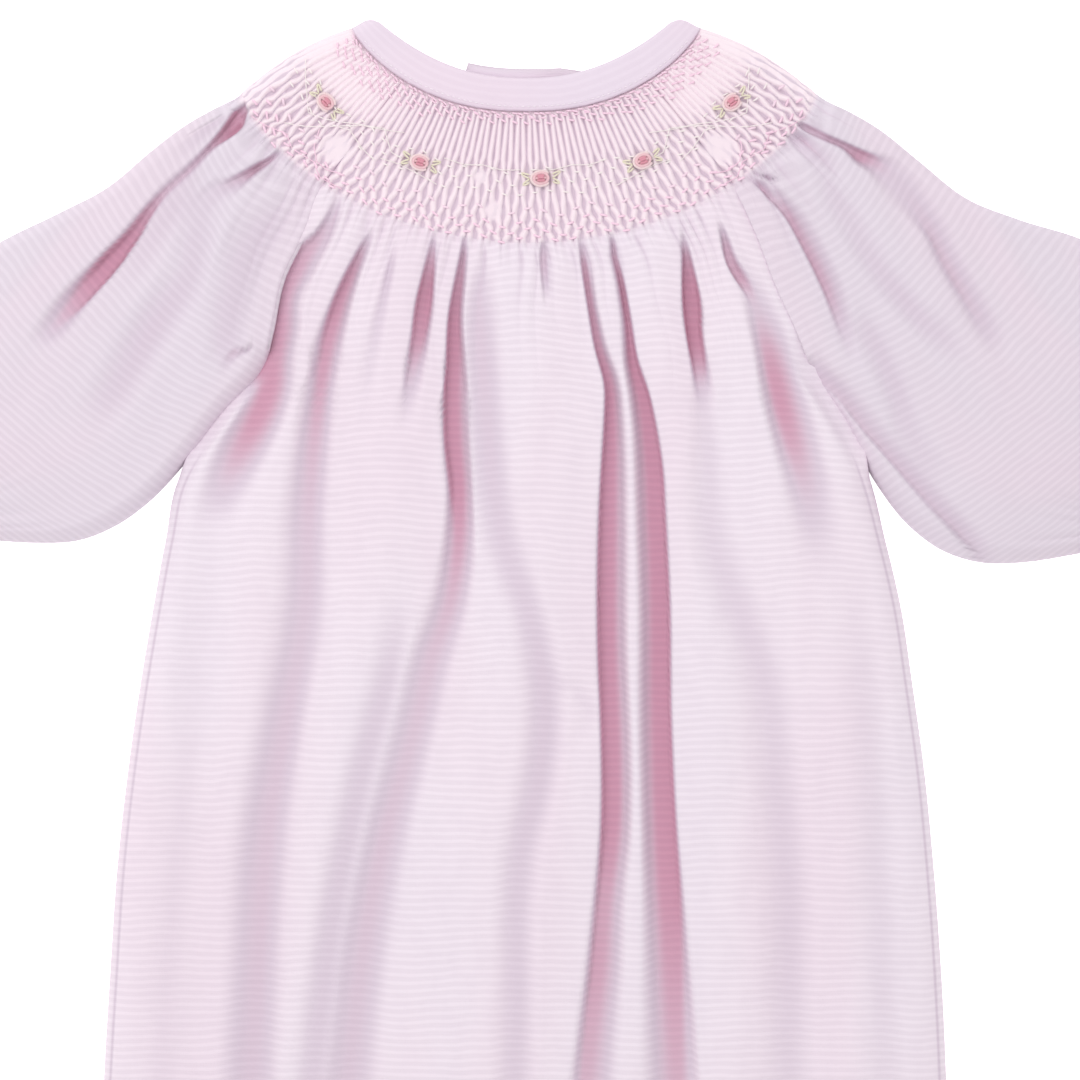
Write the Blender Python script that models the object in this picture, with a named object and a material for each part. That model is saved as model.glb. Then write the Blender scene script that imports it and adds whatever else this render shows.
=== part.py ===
"""A baby's smocked dress with long raglan sleeves, laid flat on its back.

Sizes are in millimetres until place() turns them into metres. x runs across the
dress from its middle line, drop runs down from the tips of the neck, and height
is measured up from the surface that the dress lies on.
"""

import math
from collections import namedtuple

import bmesh
import bpy
import numpy as np

MM = 0.001

# The origin is under the middle of the whole outline
MIDDLE_TO_CENTRE = -4.2
TIPS_TO_CENTRE = 230.0

# Cloth and seams
CLOTH = 1.2
SEAM_GAP = 0.3
REST = CLOTH + SEAM_GAP        # height of what lies on the back panel

# Neckband: two layers of cloth, about 12 mm wide
BAND_CLOTH = 1.8
BAND_HEIGHT = 9.2
LAP = 24.0                     # how far the band's top end passes the middle
UNDERLAP = 8.0
LAP_RAMP = 4.0

# Smocked yoke: a ring of pleats between the neckband and the gathers
PLEATS = 76
SLEEVE_PLEATS = 14
PLEAT_DEPTH = 1.7
YOKE_UNDERSIDE = 5.8
YOKE_VALLEY = 7.9
SHOULDER_RISE = 3.0
FLARE = 1.12                   # how far down the pleats have opened into gathers
GATHERS = 24
GATHER_DEPTH = 1.3

# Skirt and sleeves
LENGTH = 460.0
SIDE_ROLL = 10.0               # how far in a panel's edge rolls down to the back
SEAM_DIP = 1.5
SEAM_DIP_REACH = 6.0
CROWN_RATE = 0.06              # rise of a ridge for each millimetre of its width
CROWN_MOST = 2.6
ARM_HOLLOW = 5.8               # least height of the hollow in a sleeve's lower half
ARM_HOLLOW_ROW = 5

# Cuffs
CUFF_LENGTH = 12.0
CUFF_HEIGHT = 7.4

# A curve across the yoke: drop = top_drop + depth * (1 - |x/half|^power)^fullness
Arc = namedtuple("Arc", "middle half top_drop depth power fullness")
NECK_TOP = Arc(0.0, 55.3, 0.0, 22.7, 2.2, 1.0)
NECK_SEAM = Arc(0.4, 63.0, 4.3, 30.3, 2.3, 0.8)
SMOCK_EDGE = Arc(1.2, 104.0, 28.0, 53.4, 2.0, 0.73)
BACK_NECK_TOP = Arc(0.0, 55.3, 0.0, 19.0, 2.2, 1.0)
BACK_NECK_SEAM = Arc(0.4, 63.0, 4.3, 27.0, 2.3, 0.8)

# Down each raglan seam to the underarm: the seam's two ends, how far the front's
# middle sags below them, the cloth's height, and the sleeves' folded top edges
Raglan = namedtuple(
    "Raglan",
    "left_x left_drop right_x right_drop sag height "
    "left_fold_x left_fold_drop right_fold_x right_fold_drop bow",
)
RAGLAN = (
    Raglan(-78.8, 77.4, 83.2, 77.4, 13.0, 9.3, -113.0, 33.5, 117.0, 34.2, 3.0),
    Raglan(-86.5, 93.0, 90.0, 95.4, 11.0, 9.8, -122.0, 38.8, 127.8, 40.7, 2.0),
    Raglan(-91.3, 114.0, 98.0, 113.0, 9.0, 10.0, -136.0, 49.5, 142.2, 52.2, 1.0),
)
UNDERARM = Raglan(-94.7, 125.6, 104.4, 127.8, 8.0, 10.0, -148.0, 59.8, 157.2, 64.4, 0.0)

# The front below the underarm: its side edges, the sag of each row and its height
Row = namedtuple("Row", "left_x left_drop right_x right_drop sag height")
SIDE_ROWS = (
    Row(-93.2, 126.5, 103.0, 128.6, 8.0, 10.0),
    Row(-105.3, 139.0, 110.6, 139.5, 7.0, 10.2),
    Row(-116.3, 153.0, 118.9, 153.5, 6.0, 10.3),
    Row(-124.4, 166.0, 123.9, 166.0, 5.0, 10.4),
    Row(-130.0, 189.0, 130.3, 189.0, 4.0, 10.5),
    Row(-134.6, 214.0, 136.1, 214.0, 3.5, 10.5),
    Row(-139.0, 240.0, 140.0, 240.0, 3.0, 10.4),
    Row(-143.6, 272.0, 144.4, 272.0, 2.5, 10.3),
    Row(-147.6, 308.0, 147.9, 308.0, 2.0, 10.2),
    Row(-150.1, 345.0, 150.6, 345.0, 1.5, 10.0),
    Row(-152.4, 384.0, 152.4, 384.0, 1.0, 10.0),
    Row(-153.8, 422.0, 153.2, 422.0, 0.5, 9.8),
    Row(-155.0, LENGTH, 153.4, LENGTH, 0.0, 9.6),
)

# The deep folds that the gathers fall into: the drops where each is placed, then
# its x there, its depth in the upper, middle and lower skirt, and its half width
# at the top and at the hem
FOLD_DROPS = (84.0, 103.0, 139.0, 182.0, 247.0, 319.0, 383.0, 460.0)
DEPTH_DROPS = (139.0, 182.0, 247.0)
Fold = namedtuple("Fold", "x upper middle lower narrow wide")
FRONT_FOLDS = (
    Fold((-70.2, -79.2, -87.1, -104.4, -115.2, -124.2, -129.6, -133.2), 1.0, 3.0, 1.5, 6.0, 10.0),
    Fold((-56.5, -66.2, -73.8, -71.6, -77.4, -91.8, -100.8, -108.0), 6.5, 2.0, 2.5, 5.0, 14.0),
    Fold((-33.8, -35.3, -40.3, -45.7, -58.7, -72.0, -81.7, -88.2), 6.5, 1.0, 0.0, 5.0, 8.0),
    Fold((-24.5, -25.2, -26.3, -23.4, -41.4, -55.8, -64.8, -72.0), 6.8, 5.5, 2.5, 4.5, 12.0),
    Fold((-15.1, -15.5, -13.7, -3.6, -6.1, -9.0, -11.9, -14.4), 2.5, 2.0, 1.0, 7.0, 12.0),
    Fold((6.5, 8.3, 16.9, 15.5, 11.9, 7.2, 1.8, -1.8), 4.5, 0.5, 0.5, 4.5, 8.0),
    Fold((18.4, 23.0, 29.5, 31.3, 28.8, 21.6, 15.5, 10.8), 6.5, 6.0, 4.0, 5.0, 8.0),
    Fold((32.8, 37.1, 42.8, 47.2, 49.7, 52.2, 55.8, 59.4), 6.8, 7.0, 6.8, 5.5, 9.0),
    Fold((58.0, 59.8, 67.3, 75.6, 80.3, 86.4, 91.1, 95.4), 5.5, 1.5, 1.5, 4.5, 12.0),
    Fold((70.9, 79.2, 90.4, 104.4, 109.1, 115.2, 118.8, 121.3), 5.0, 3.0, 1.5, 5.0, 12.0),
)

# Each sleeve below the underarm: how far along it, its half width and height
Arm = namedtuple("Arm", "along left_half right_half height")
ARM_ROWS = (
    Arm(21.6, 46.1, 47.9, 10.0),
    Arm(43.2, 51.1, 56.9, 10.0),
    Arm(64.8, 54.0, 61.2, 10.0),
    Arm(79.2, 52.9, 59.8, 9.6),
    Arm(93.6, 47.9, 52.9, 9.2),
    Arm(106.0, 38.5, 41.4, 8.4),
    Arm(117.0, 28.4, 28.4, CUFF_HEIGHT),
)

# Which way each sleeve runs, down from level, from the middle of its underarm row
Aim = namedtuple("Aim", "side angle")
LEFT_AIM = Aim(-1, 39.0)
RIGHT_AIM = Aim(1, 40.0)

# Folds along a sleeve: the share of its width, from the seam to the folded edge,
# at the smocked edge, the middle raglan row, the underarm and three rows below
ARM_FOLD_ROWS = (0, 2, 4, 6, 8, 11)
LEFT_ARM_FOLDS = (
    Fold((0.20, 0.22, 0.20, 0.17, 0.18, 0.20), 0.5, 1.5, 2.0, 4.0, 7.0),
    Fold((0.46, 0.58, 0.46, 0.37, 0.35, 0.36), 4.0, 4.5, 2.0, 4.5, 8.0),
    Fold((0.70, 0.70, 0.61, 0.52, 0.52, 0.52), 0.5, 0.8, 2.0, 4.0, 6.0),
    Fold((0.88, 0.82, 0.75, 0.67, 0.68, 0.68), 5.5, 5.0, 2.2, 4.5, 7.0),
)
RIGHT_ARM_FOLDS = (
    Fold((0.15, 0.28, 0.20, 0.16, 0.17, 0.20), 5.0, 3.0, 2.0, 4.5, 7.0),
    Fold((0.40, 0.46, 0.38, 0.34, 0.35, 0.36), 0.8, 1.0, 2.0, 4.0, 7.0),
    Fold((0.60, 0.66, 0.57, 0.50, 0.51, 0.52), 0.5, 0.8, 2.0, 4.0, 6.0),
    Fold((0.78, 0.86, 0.77, 0.66, 0.67, 0.68), 5.5, 5.0, 2.5, 4.5, 7.0),
)

# The raised roses: how far round the yoke and how far down it each one sits
Rose = namedtuple("Rose", "name share down")
ROSES = (
    Rose("rose_1", 0.100, 0.51),
    Rose("rose_2", 0.303, 0.53),
    Rose("rose_3", 0.525, 0.52),
    Rose("rose_4", 0.713, 0.54),
    Rose("rose_5", 0.905, 0.53),
)
ROSE_HALF = (4.6, 3.5)
ROSE_SIDES = 14
# Each ring of a rose: its share of the rose's half size, and its height
ROSE_RINGS = ((1.0, 0.0), (0.98, 0.9), (0.74, 1.7), (0.56, 1.2), (0.34, 2.1))
ROSE_TOP = 2.2

# Colours of the cloth and of the roses
CLOTH_PINK = (0.86, 0.74, 0.80)
BAND_PINK = (0.82, 0.70, 0.77)
ROSE_PINK = (0.62, 0.36, 0.42)


def mix(first, last, share):
    """The value that lies a share of the way from first to last."""
    return first + (last - first) * share


def place(x, drop, height):
    """A point in metres from its place on the laid-out dress."""
    return (
        (x + MIDDLE_TO_CENTRE) * MM,
        (TIPS_TO_CENTRE - drop) * MM,
        height * MM,
    )


def arc_line(arc, steps=240):
    """Points along an arc with the share of its length that each has reached."""
    turns = np.linspace(-math.pi / 2, math.pi / 2, steps + 1)
    across = np.sin(turns)
    x = arc.middle + arc.half * across
    fall = np.clip(1.0 - np.abs(across) ** arc.power, 0.0, 1.0) ** arc.fullness
    drop = arc.top_drop + arc.depth * fall
    reach = np.concatenate(([0.0], np.cumsum(np.hypot(np.diff(x), np.diff(drop)))))
    return reach / reach[-1], x, drop


LINES = {
    "neck_top": arc_line(NECK_TOP),
    "neck_seam": arc_line(NECK_SEAM),
    "smock_edge": arc_line(SMOCK_EDGE),
    "back_neck_top": arc_line(BACK_NECK_TOP),
    "back_neck_seam": arc_line(BACK_NECK_SEAM),
}


def on_line(name, share):
    """x and drop at a share of a line's length, from its left end."""
    shares, x, drop = LINES[name]
    return float(np.interp(share, shares, x)), float(np.interp(share, shares, drop))


def yoke_point(share, down, seam="neck_seam"):
    """x and drop on the smocked yoke, round it by share and down it by down."""
    top_x, top_drop = on_line(seam, share)
    low_x, low_drop = on_line("smock_edge", share)
    shoulder = abs(2.0 * share - 1.0) ** 8
    rise = SHOULDER_RISE * math.sin(math.pi * min(down, 1.0)) * shoulder
    return mix(top_x, low_x, down), mix(top_drop, low_drop, down) - rise


LEFT_RAGLAN = SLEEVE_PLEATS / PLEATS
RIGHT_RAGLAN = 1.0 - LEFT_RAGLAN
YOKE_START = 0.007             # keeps the yoke a seam's gap below the band
YOKE_DOWNS = (YOKE_START, 0.14, 0.28, 0.44, 0.60, 0.76, 0.90, 1.0)
# How far each row of smocking stitches draws the pleats in
YOKE_PLEAT_SHARES = (0.55, 0.85, 1.0, 0.80, 1.0, 0.80, 1.0, 0.85)


def stitch(mesh, first, second):
    """Triangles between two rows of (share, vertex), whichever row is finer."""
    paired = len(first) == len(second)
    i = 0
    j = 0
    while i < len(first) - 1 or j < len(second) - 1:
        step_first = j == len(second) - 1
        if i < len(first) - 1 and not step_first:
            step_first = i == j if paired else first[i + 1][0] <= second[j + 1][0]
        if step_first:
            corners = (first[i][1], second[j][1], first[i + 1][1])
            i += 1
        else:
            corners = (first[i][1], second[j][1], second[j + 1][1])
            j += 1
        mesh.faces.new(corners)


def cloth_material(name, colour):
    """A matt cloth finish."""
    material = bpy.data.materials.new(name)
    material.use_nodes = True
    shader = material.node_tree.nodes["Principled BSDF"]
    shader.inputs["Base Color"].default_value = (*colour, 1.0)
    shader.inputs["Roughness"].default_value = 0.9
    shader.inputs["Metallic"].default_value = 0.0
    material.diffuse_color = (*colour, 1.0)
    return material


def add_object(name, mesh, material):
    """Turns a bmesh into a named object with its faces pointing out."""
    bmesh.ops.recalc_face_normals(mesh, faces=mesh.faces)
    data = bpy.data.meshes.new(name)
    mesh.to_mesh(data)
    mesh.free()
    data.materials.append(material)
    data.shade_smooth()
    data.set_sharp_from_angle(angle=math.radians(50))
    item = bpy.data.objects.new(name, data)
    bpy.context.scene.collection.objects.link(item)
    return item


def wall(name, outer_rows, inner_rows, material, ring=False):
    """One closed wall between an outer and an inner sheet of rows.

    A row is a list of (share, point), with share running from 0 to 1 across it.
    The two sheets have as many rows as each other, but a row may have any number
    of points. A ring's rows each close on themselves.
    """
    mesh = bmesh.new()
    sheets = []
    for rows in (outer_rows, inner_rows):
        sheet = []
        for row in rows:
            line = [(share, mesh.verts.new(place(*point))) for share, point in row]
            if ring:
                line.append((1.0, line[0][1]))
            sheet.append(line)
        for upper, lower in zip(sheet, sheet[1:]):
            stitch(mesh, upper, lower)
        sheets.append(sheet)
    outer, inner = sheets
    stitch(mesh, outer[0], inner[0])
    stitch(mesh, outer[-1], inner[-1])
    if not ring:
        for end in (0, -1):
            for k in range(len(outer) - 1):
                near = outer[k][end][1]
                far = outer[k + 1][end][1]
                mesh.faces.new((near, inner[k][end][1], inner[k + 1][end][1]))
                mesh.faces.new((near, inner[k + 1][end][1], far))
    return add_object(name, mesh, material)


def fold_depth(fold, drop):
    """How deep a fold is at a drop down the skirt."""
    return float(np.interp(drop, DEPTH_DROPS, (fold.upper, fold.middle, fold.lower)))


def front_valleys(row):
    """Where each fold crosses a row of the front: its x, depth and half width."""
    valleys = []
    for fold in FRONT_FOLDS:
        x = fold.x[0]
        for _ in range(3):
            drop = row_drop(row, x)
            x = float(np.interp(drop, FOLD_DROPS, fold.x))
        reach = mix(fold.narrow, fold.wide, (drop - FOLD_DROPS[0]) / (LENGTH - FOLD_DROPS[0]))
        valleys.append((x, fold_depth(fold, drop), reach))
    return valleys


def row_drop(row, x):
    """The drop of a row of the front at x: straight ends with a sagging middle."""
    share = (x - row.left_x) / (row.right_x - row.left_x)
    return mix(row.left_drop, row.right_drop, share) + row.sag * 4.0 * share * (1.0 - share)


def between(first, second, first_reach, second_reach):
    """Places across the ridge between two valleys, close-set beside each."""
    gap = second - first
    return (
        first + min(0.35 * first_reach, 0.2 * gap),
        first + min(first_reach, 0.4 * gap),
        first + 0.5 * gap,
        second - min(second_reach, 0.4 * gap),
        second - min(0.35 * second_reach, 0.2 * gap),
    )


ROLL_SHARES = (0.0, 0.05, 0.2, 0.5, 1.0)


def across_places(start, end, valleys, start_edge, end_edge):
    """Every place across a section where the cloth has a point."""
    places = [start + share * start_edge for share in ROLL_SHARES]
    stops = [(places[-1], 0.0, 0.0)] + list(valleys) + [(end - end_edge, 0.0, 0.0)]
    for first, second in zip(stops, stops[1:]):
        inside = between(first[0], second[0], first[2], second[2])
        if first is stops[0]:
            inside = inside[2:]
        if second is stops[-1]:
            inside = inside[:3]
        places.extend(inside)
        places.append(second[0])
    if end_edge:
        places.extend(end - share * end_edge for share in reversed(ROLL_SHARES[:-1]))
    return places


def ridges(place_across, valleys, start, end):
    """Height above the plain cloth: crowned ridges between pointed valleys."""
    stops = [start] + [valley[0] for valley in valleys] + [end]
    height = 0.0
    for first, second in zip(stops, stops[1:]):
        if first <= place_across <= second and second > first:
            share = (place_across - first) / (second - first)
            rise = min(CROWN_RATE * (second - first), CROWN_MOST)
            height = rise * math.sin(math.pi * share) ** 0.8
    for middle, depth, reach in valleys:
        near = abs(place_across - middle) / reach
        if near < 1.0:
            height -= depth * (1.0 - near) ** 2
    return height


def slope_factor(heights, places, index):
    """How much thicker a sloping wall is when measured straight up."""
    low = max(index - 1, 0)
    high = min(index + 1, len(places) - 1)
    run = max(places[high] - places[low], 0.01)
    slope = (heights[high] - heights[low]) / run
    return min(math.sqrt(1.0 + slope * slope), 1.7)


def shares_of(places):
    """Shares from 0 to 1 for a list of places."""
    first = places[0]
    span = places[-1] - first
    return [(value - first) / span for value in places]


def front_row(row, deep, rolled):
    """Outer and inner points across one row of the front.

    deep is the share of the folds' depth that this row has reached. A rolled
    row's ends come down to lie on the back panel; others end at a raglan seam.
    """
    valleys = [(x, depth * deep, reach) for x, depth, reach in front_valleys(row)]
    places = across_places(row.left_x, row.right_x, valleys, SIDE_ROLL, SIDE_ROLL)
    heights = []
    for x in places:
        height = row.height + deep * ridges(x, valleys, row.left_x, row.right_x)
        heights.append(max(height, REST + CLOTH + 0.1))
    outer = []
    inner = []
    for index, x in enumerate(places):
        share = shares_of(places)[index]
        inward = min(x - row.left_x, row.right_x - x)
        side = 1.0 if x - row.left_x < row.right_x - x else -1.0
        height = heights[index]
        thick = CLOTH * slope_factor(heights, places, index)
        drop = row_drop(row, x)
        if rolled and inward < SIDE_ROLL:
            turn = math.sqrt(max(1.0 - (1.0 - inward / SIDE_ROLL) ** 2, 0.0))
            shift = CLOTH * (1.0 - inward / SIDE_ROLL)
            top = REST + (height - REST) * turn
            under = REST + (max(height - CLOTH, REST) - REST) * turn
            outer.append((share, (x, drop, top)))
            inner.append((share, (x + side * shift, drop, under)))
            continue
        if not rolled:
            dip = SEAM_DIP * max(1.0 - inward / SEAM_DIP_REACH, 0.0) ** 2
            height -= dip
            if inward == 0.0:
                x += side * SEAM_GAP / 2
                thick = CLOTH
        outer.append((share, (x, drop, height)))
        inner.append((share, (x, drop, max(height - thick, REST))))
    return outer, inner


def pleat_wave(turn):
    """Height of a pleat, 0 in its valley and 1 on its crest."""
    return math.sin(math.pi * (turn % 1.0)) ** 0.9


def pleat_shares(first, last, pleats):
    """Shares of a row with four points to a pleat."""
    steps = pleats * 4
    return [mix(first, last, k / steps) for k in range(steps + 1)]


def front_yoke_rows():
    """Rows of the front's smocked top, pleats outside and plain inside."""
    pleats = PLEATS - 2 * SLEEVE_PLEATS
    outer_rows = []
    inner_rows = []
    downs = YOKE_DOWNS + (FLARE,)
    for down, drawn in zip(downs, YOKE_PLEAT_SHARES + (1.0,)):
        flared = down == FLARE
        waves = GATHERS if flared else pleats
        deep = GATHER_DEPTH if flared else PLEAT_DEPTH * drawn
        outer = []
        points = pleat_shares(LEFT_RAGLAN, RIGHT_RAGLAN, waves)
        left = yoke_point(LEFT_RAGLAN, down)[0]
        right = yoke_point(RIGHT_RAGLAN, down)[0]
        for k, share in enumerate(points):
            x, drop = yoke_point(share, down)
            key = (x - left) / (right - left)
            if k == 0:
                x += SEAM_GAP / 2
            if k == len(points) - 1:
                x -= SEAM_GAP / 2
            crest = pleat_wave(k / 4.0)
            outer.append((key, (x, drop, YOKE_VALLEY + deep * crest)))
        inner = [(key, (x, drop, YOKE_UNDERSIDE)) for key, (x, drop, _) in outer[::8]]
        outer_rows.append(outer)
        inner_rows.append(inner)
    return outer_rows, inner_rows


def front_rows():
    """The rows of the front below the smocking."""
    rows = [Row(*raglan[:6]) for raglan in RAGLAN]
    deeps = (0.75, 1.0, 1.0)
    for row, deep in zip(rows, deeps):
        yield front_row(row, deep, False)
    for row in SIDE_ROWS:
        yield front_row(row, 1.0, True)


def build_front(material):
    """The front panel, from the neckband to the hem."""
    outer_rows, inner_rows = front_yoke_rows()
    for outer, inner in front_rows():
        outer_rows.append(outer)
        inner_rows.append(inner)
    return wall("front", outer_rows, inner_rows, material)


def raglan_seam(side, seam="neck_seam"):
    """The raglan seam on one side, from the neckband to the underarm."""
    share = LEFT_RAGLAN if side < 0 else RIGHT_RAGLAN
    points = [yoke_point(share, down, seam) for down in YOKE_DOWNS + (FLARE,)]
    for row in RAGLAN + (UNDERARM,):
        if side < 0:
            points.append((row.left_x, row.left_drop))
        else:
            points.append((row.right_x, row.right_drop))
    return points


BACK_SLIT = 110.0
SLIT_HALF = 0.3


def build_back(material):
    """The back panel: one flat sheet with a slit at its middle."""
    half_gap = SEAM_GAP / 2
    left = [(x + half_gap, drop) for x, drop in raglan_seam(-1, "back_neck_seam")]
    right = [(x - half_gap, drop) for x, drop in raglan_seam(1, "back_neck_seam")]
    left += [(row.left_x, row.left_drop) for row in SIDE_ROWS]
    right += [(row.right_x, row.right_drop) for row in SIDE_ROWS]
    neck = []
    for k in range(1, 24):
        share = mix(LEFT_RAGLAN, RIGHT_RAGLAN, k / 24)
        neck.append(yoke_point(share, YOKE_START, "back_neck_seam"))
    low = BACK_NECK_SEAM.top_drop + BACK_NECK_SEAM.depth + SEAM_GAP
    slit = [(SLIT_HALF, low), (SLIT_HALF, BACK_SLIT), (-SLIT_HALF, BACK_SLIT), (-SLIT_HALF, low)]
    right_neck = [point for point in neck if point[0] > 1.5]
    left_neck = [point for point in neck if point[0] < -1.5]
    outline = left[::-1] + left_neck + slit[::-1] + right_neck + right
    mesh = bmesh.new()
    corners = [mesh.verts.new(place(x, drop, 0.0)) for x, drop in outline]
    face = mesh.faces.new(corners)
    lifted = bmesh.ops.extrude_face_region(mesh, geom=[face])
    for item in lifted["geom"]:
        if isinstance(item, bmesh.types.BMVert):
            item.co.z = CLOTH * MM
    bmesh.ops.triangulate(mesh, faces=mesh.faces)
    return add_object("back", mesh, material)


def sleeve_frames(side):
    """Each row of a sleeve: seam end, folded end, bow of the row and its height.

    The smocked rows come first, then the raglan rows, the underarm, and the arm.
    """
    share = LEFT_RAGLAN if side < 0 else RIGHT_RAGLAN
    edge = 0.0 if side < 0 else 1.0
    frames = [("yoke", down, share, edge) for down in YOKE_DOWNS + (FLARE,)]
    for row in RAGLAN + (UNDERARM,):
        if side < 0:
            ends = ((row.left_x, row.left_drop), (row.left_fold_x, row.left_fold_drop))
        else:
            ends = ((row.right_x, row.right_drop), (row.right_fold_x, row.right_fold_drop))
        frames.append(("chord", ends[0], ends[1], row.bow, row.height))
    seam, fold = frames[-1][1], frames[-1][2]
    middle = ((seam[0] + fold[0]) / 2, (seam[1] + fold[1]) / 2)
    aim = LEFT_AIM if side < 0 else RIGHT_AIM
    for row in ARM_ROWS:
        half = row.left_half if side < 0 else row.right_half
        seam, fold = arm_ends(middle, aim, row.along, half)
        frames.append(("chord", seam, fold, 0.0, row.height))
    return frames


def arm_ends(middle, aim, along, half):
    """The seam end and the folded end of a row across the arm."""
    angle = math.radians(aim.angle)
    ahead = (aim.side * math.cos(angle), math.sin(angle))
    across = (-aim.side * math.sin(angle), math.cos(angle))
    x = middle[0] + along * ahead[0]
    drop = middle[1] + along * ahead[1]
    seam = (x + half * across[0], drop + half * across[1])
    fold = (x - half * across[0], drop - half * across[1])
    return seam, fold


def frame_point(frame, across, back=False):
    """x and drop a share of the way across a sleeve row, seam to fold."""
    if frame[0] == "yoke":
        _, down, start, edge = frame
        seam = "back_neck_seam" if back else "neck_seam"
        return yoke_point(mix(start, edge, across), down, seam)
    _, seam, fold, bow, _ = frame
    dx = fold[0] - seam[0]
    dy = fold[1] - seam[1]
    length = math.hypot(dx, dy)
    side = 1.0 if dx > 0 else -1.0
    out = bow * 4.0 * across * (1.0 - across)
    x = seam[0] + dx * across + side * out * -dy / length
    return x, seam[1] + dy * across + side * out * dx / length


def frame_height(frame):
    """The height of the cloth along a sleeve row."""
    if frame[0] == "yoke":
        return YOKE_VALLEY + PLEAT_DEPTH / 2
    return frame[4]


FRONT_SHARE = 0.62             # share of a sleeve's section in front of its fold
FOLD_SHARE = 0.14
FOLD_TURNS = (60.0, 25.0, -25.0, -60.0)
BACK_PLACES = (1.0, 0.5, 0.15, 0.0)


def sleeve_valleys(folds, row, width):
    """Folds that cross one row of a sleeve: place, depth and half width."""
    valleys = []
    for fold in folds:
        share = float(np.interp(row, ARM_FOLD_ROWS, fold.x))
        depth = float(np.interp(row, (1, 4, 7), (fold.upper, fold.middle, fold.lower)))
        reach = mix(fold.narrow, fold.wide, row / 11.0)
        valleys.append((share * width, depth, min(reach, 0.11 * width)))
    return valleys


def fold_and_back(frame, radius, width, coarse):
    """Outer and inner points round a sleeve's folded edge and along its back."""
    outer = []
    inner = []
    turn_at = 1.0 - radius / width
    middle = frame_point(frame, turn_at)
    tip = frame_point(frame, 1.0)
    for k, degrees in enumerate(FOLD_TURNS):
        turn = math.radians(degrees)
        share = FRONT_SHARE + FOLD_SHARE * (k + 1) / (len(FOLD_TURNS) + 1)
        for points, reach in ((outer, radius), (inner, radius - CLOTH)):
            out = reach / radius * math.cos(turn)
            x = mix(middle[0], tip[0], out)
            drop = mix(middle[1], tip[1], out)
            points.append((share, (x, drop, radius + reach * math.sin(turn))))
    start = FRONT_SHARE + FOLD_SHARE
    for place_back in BACK_PLACES:
        share = mix(start, 1.0, 1.0 - place_back)
        x, drop = frame_point(frame, place_back * turn_at, back=True)
        if place_back == 1.0:
            x, drop = middle
        outer.append((share, (x, drop, 0.0)))
        inner.append((share, (x, drop, CLOTH)))
    return outer, inner


def sleeve_row(frame, row, folds, side, rolled, pleated):
    """Outer and inner points round one row of a sleeve, seam to seam."""
    seam = frame_point(frame, 0.0)
    tip = frame_point(frame, 1.0)
    width = math.hypot(tip[0] - seam[0], tip[1] - seam[1])
    top = frame_height(frame)
    radius = top / 2.0
    turn_at = width - radius
    valleys = sleeve_valleys(folds, max(row, 0), width)
    places = across_places(0.0, turn_at, valleys, SIDE_ROLL * 0.9, 0.0)
    heights = [top + ridges(value, valleys, 0.0, turn_at) for value in places]
    lowest = ARM_HOLLOW if row >= ARM_HOLLOW_ROW else REST + 0.1
    heights = [max(value, lowest + CLOTH) for value in heights]
    outer = []
    inner = []
    roll = SIDE_ROLL * 0.9
    for index, value in enumerate(places):
        share = FRONT_SHARE * value / turn_at
        height = heights[index]
        thick = CLOTH * slope_factor(heights, places, index)
        x, drop = frame_point(frame, value / width)
        if rolled and value < roll:
            turn = math.sqrt(max(1.0 - (1.0 - value / roll) ** 2, 0.0))
            shifted = value + CLOTH * (1.0 - value / roll)
            under_x, under_drop = frame_point(frame, shifted / width)
            outer.append((share, (x, drop, REST + (height - REST) * turn)))
            under = REST + (max(height - CLOTH, REST) - REST) * turn
            inner.append((share, (under_x, under_drop, under)))
            continue
        if not rolled:
            dip = SEAM_DIP * max(1.0 - value / SEAM_DIP_REACH, 0.0) ** 2
            height -= dip
            if value == 0.0:
                x += side * SEAM_GAP / 2
                thick = CLOTH
        outer.append((share, (x, drop, height)))
        inner.append((share, (x, drop, max(height - thick, REST))))
    if pleated:
        outer, inner = pleated_front(frame, row, side, turn_at / width)
    more_outer, more_inner = fold_and_back(frame, radius, width, pleated)
    if not rolled:
        more_outer[-1] = shifted_point(more_outer[-1], side)
        more_inner[-1] = shifted_point(more_inner[-1], side)
    return outer + more_outer, inner + more_inner


def shifted_point(item, side):
    """A row's last point, moved half a seam's gap off the seam."""
    share, (x, drop, height) = item
    return share, (x + side * SEAM_GAP / 2, drop, height)


def pleated_front(frame, drawn, side, turn_at):
    """The smocked part of a sleeve row: pleats outside, plain inside."""
    outer = []
    steps = SLEEVE_PLEATS * 4
    for k in range(steps + 1):
        across = turn_at * k / steps
        x, drop = frame_point(frame, across)
        if k == 0:
            x += side * SEAM_GAP / 2
        height = YOKE_VALLEY + PLEAT_DEPTH * drawn * pleat_wave(k / 4.0)
        outer.append((FRONT_SHARE * k / steps, (x, drop, height)))
    inner = [(share, (x, drop, YOKE_UNDERSIDE)) for share, (x, drop, _) in outer[::8]]
    return outer, inner


def build_sleeve(name, side, folds, material):
    """One raglan sleeve, laid flat, with its seam under the arm."""
    outer_rows = []
    inner_rows = []
    smocked = len(YOKE_DOWNS)
    for index, frame in enumerate(sleeve_frames(side)):
        pleated = index < smocked
        row = YOKE_PLEAT_SHARES[index] if pleated else index - smocked
        rolled = index >= smocked + 1 + len(RAGLAN)
        outer, inner = sleeve_row(frame, row, folds, side, rolled, pleated)
        outer_rows.append(outer)
        inner_rows.append(inner)
    return wall(name, outer_rows, inner_rows, material)


BAND_STEPS = 30
BAND_ACROSS = (0.0, 0.5, 1.0)
BAND_CROWN = 0.3


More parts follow.
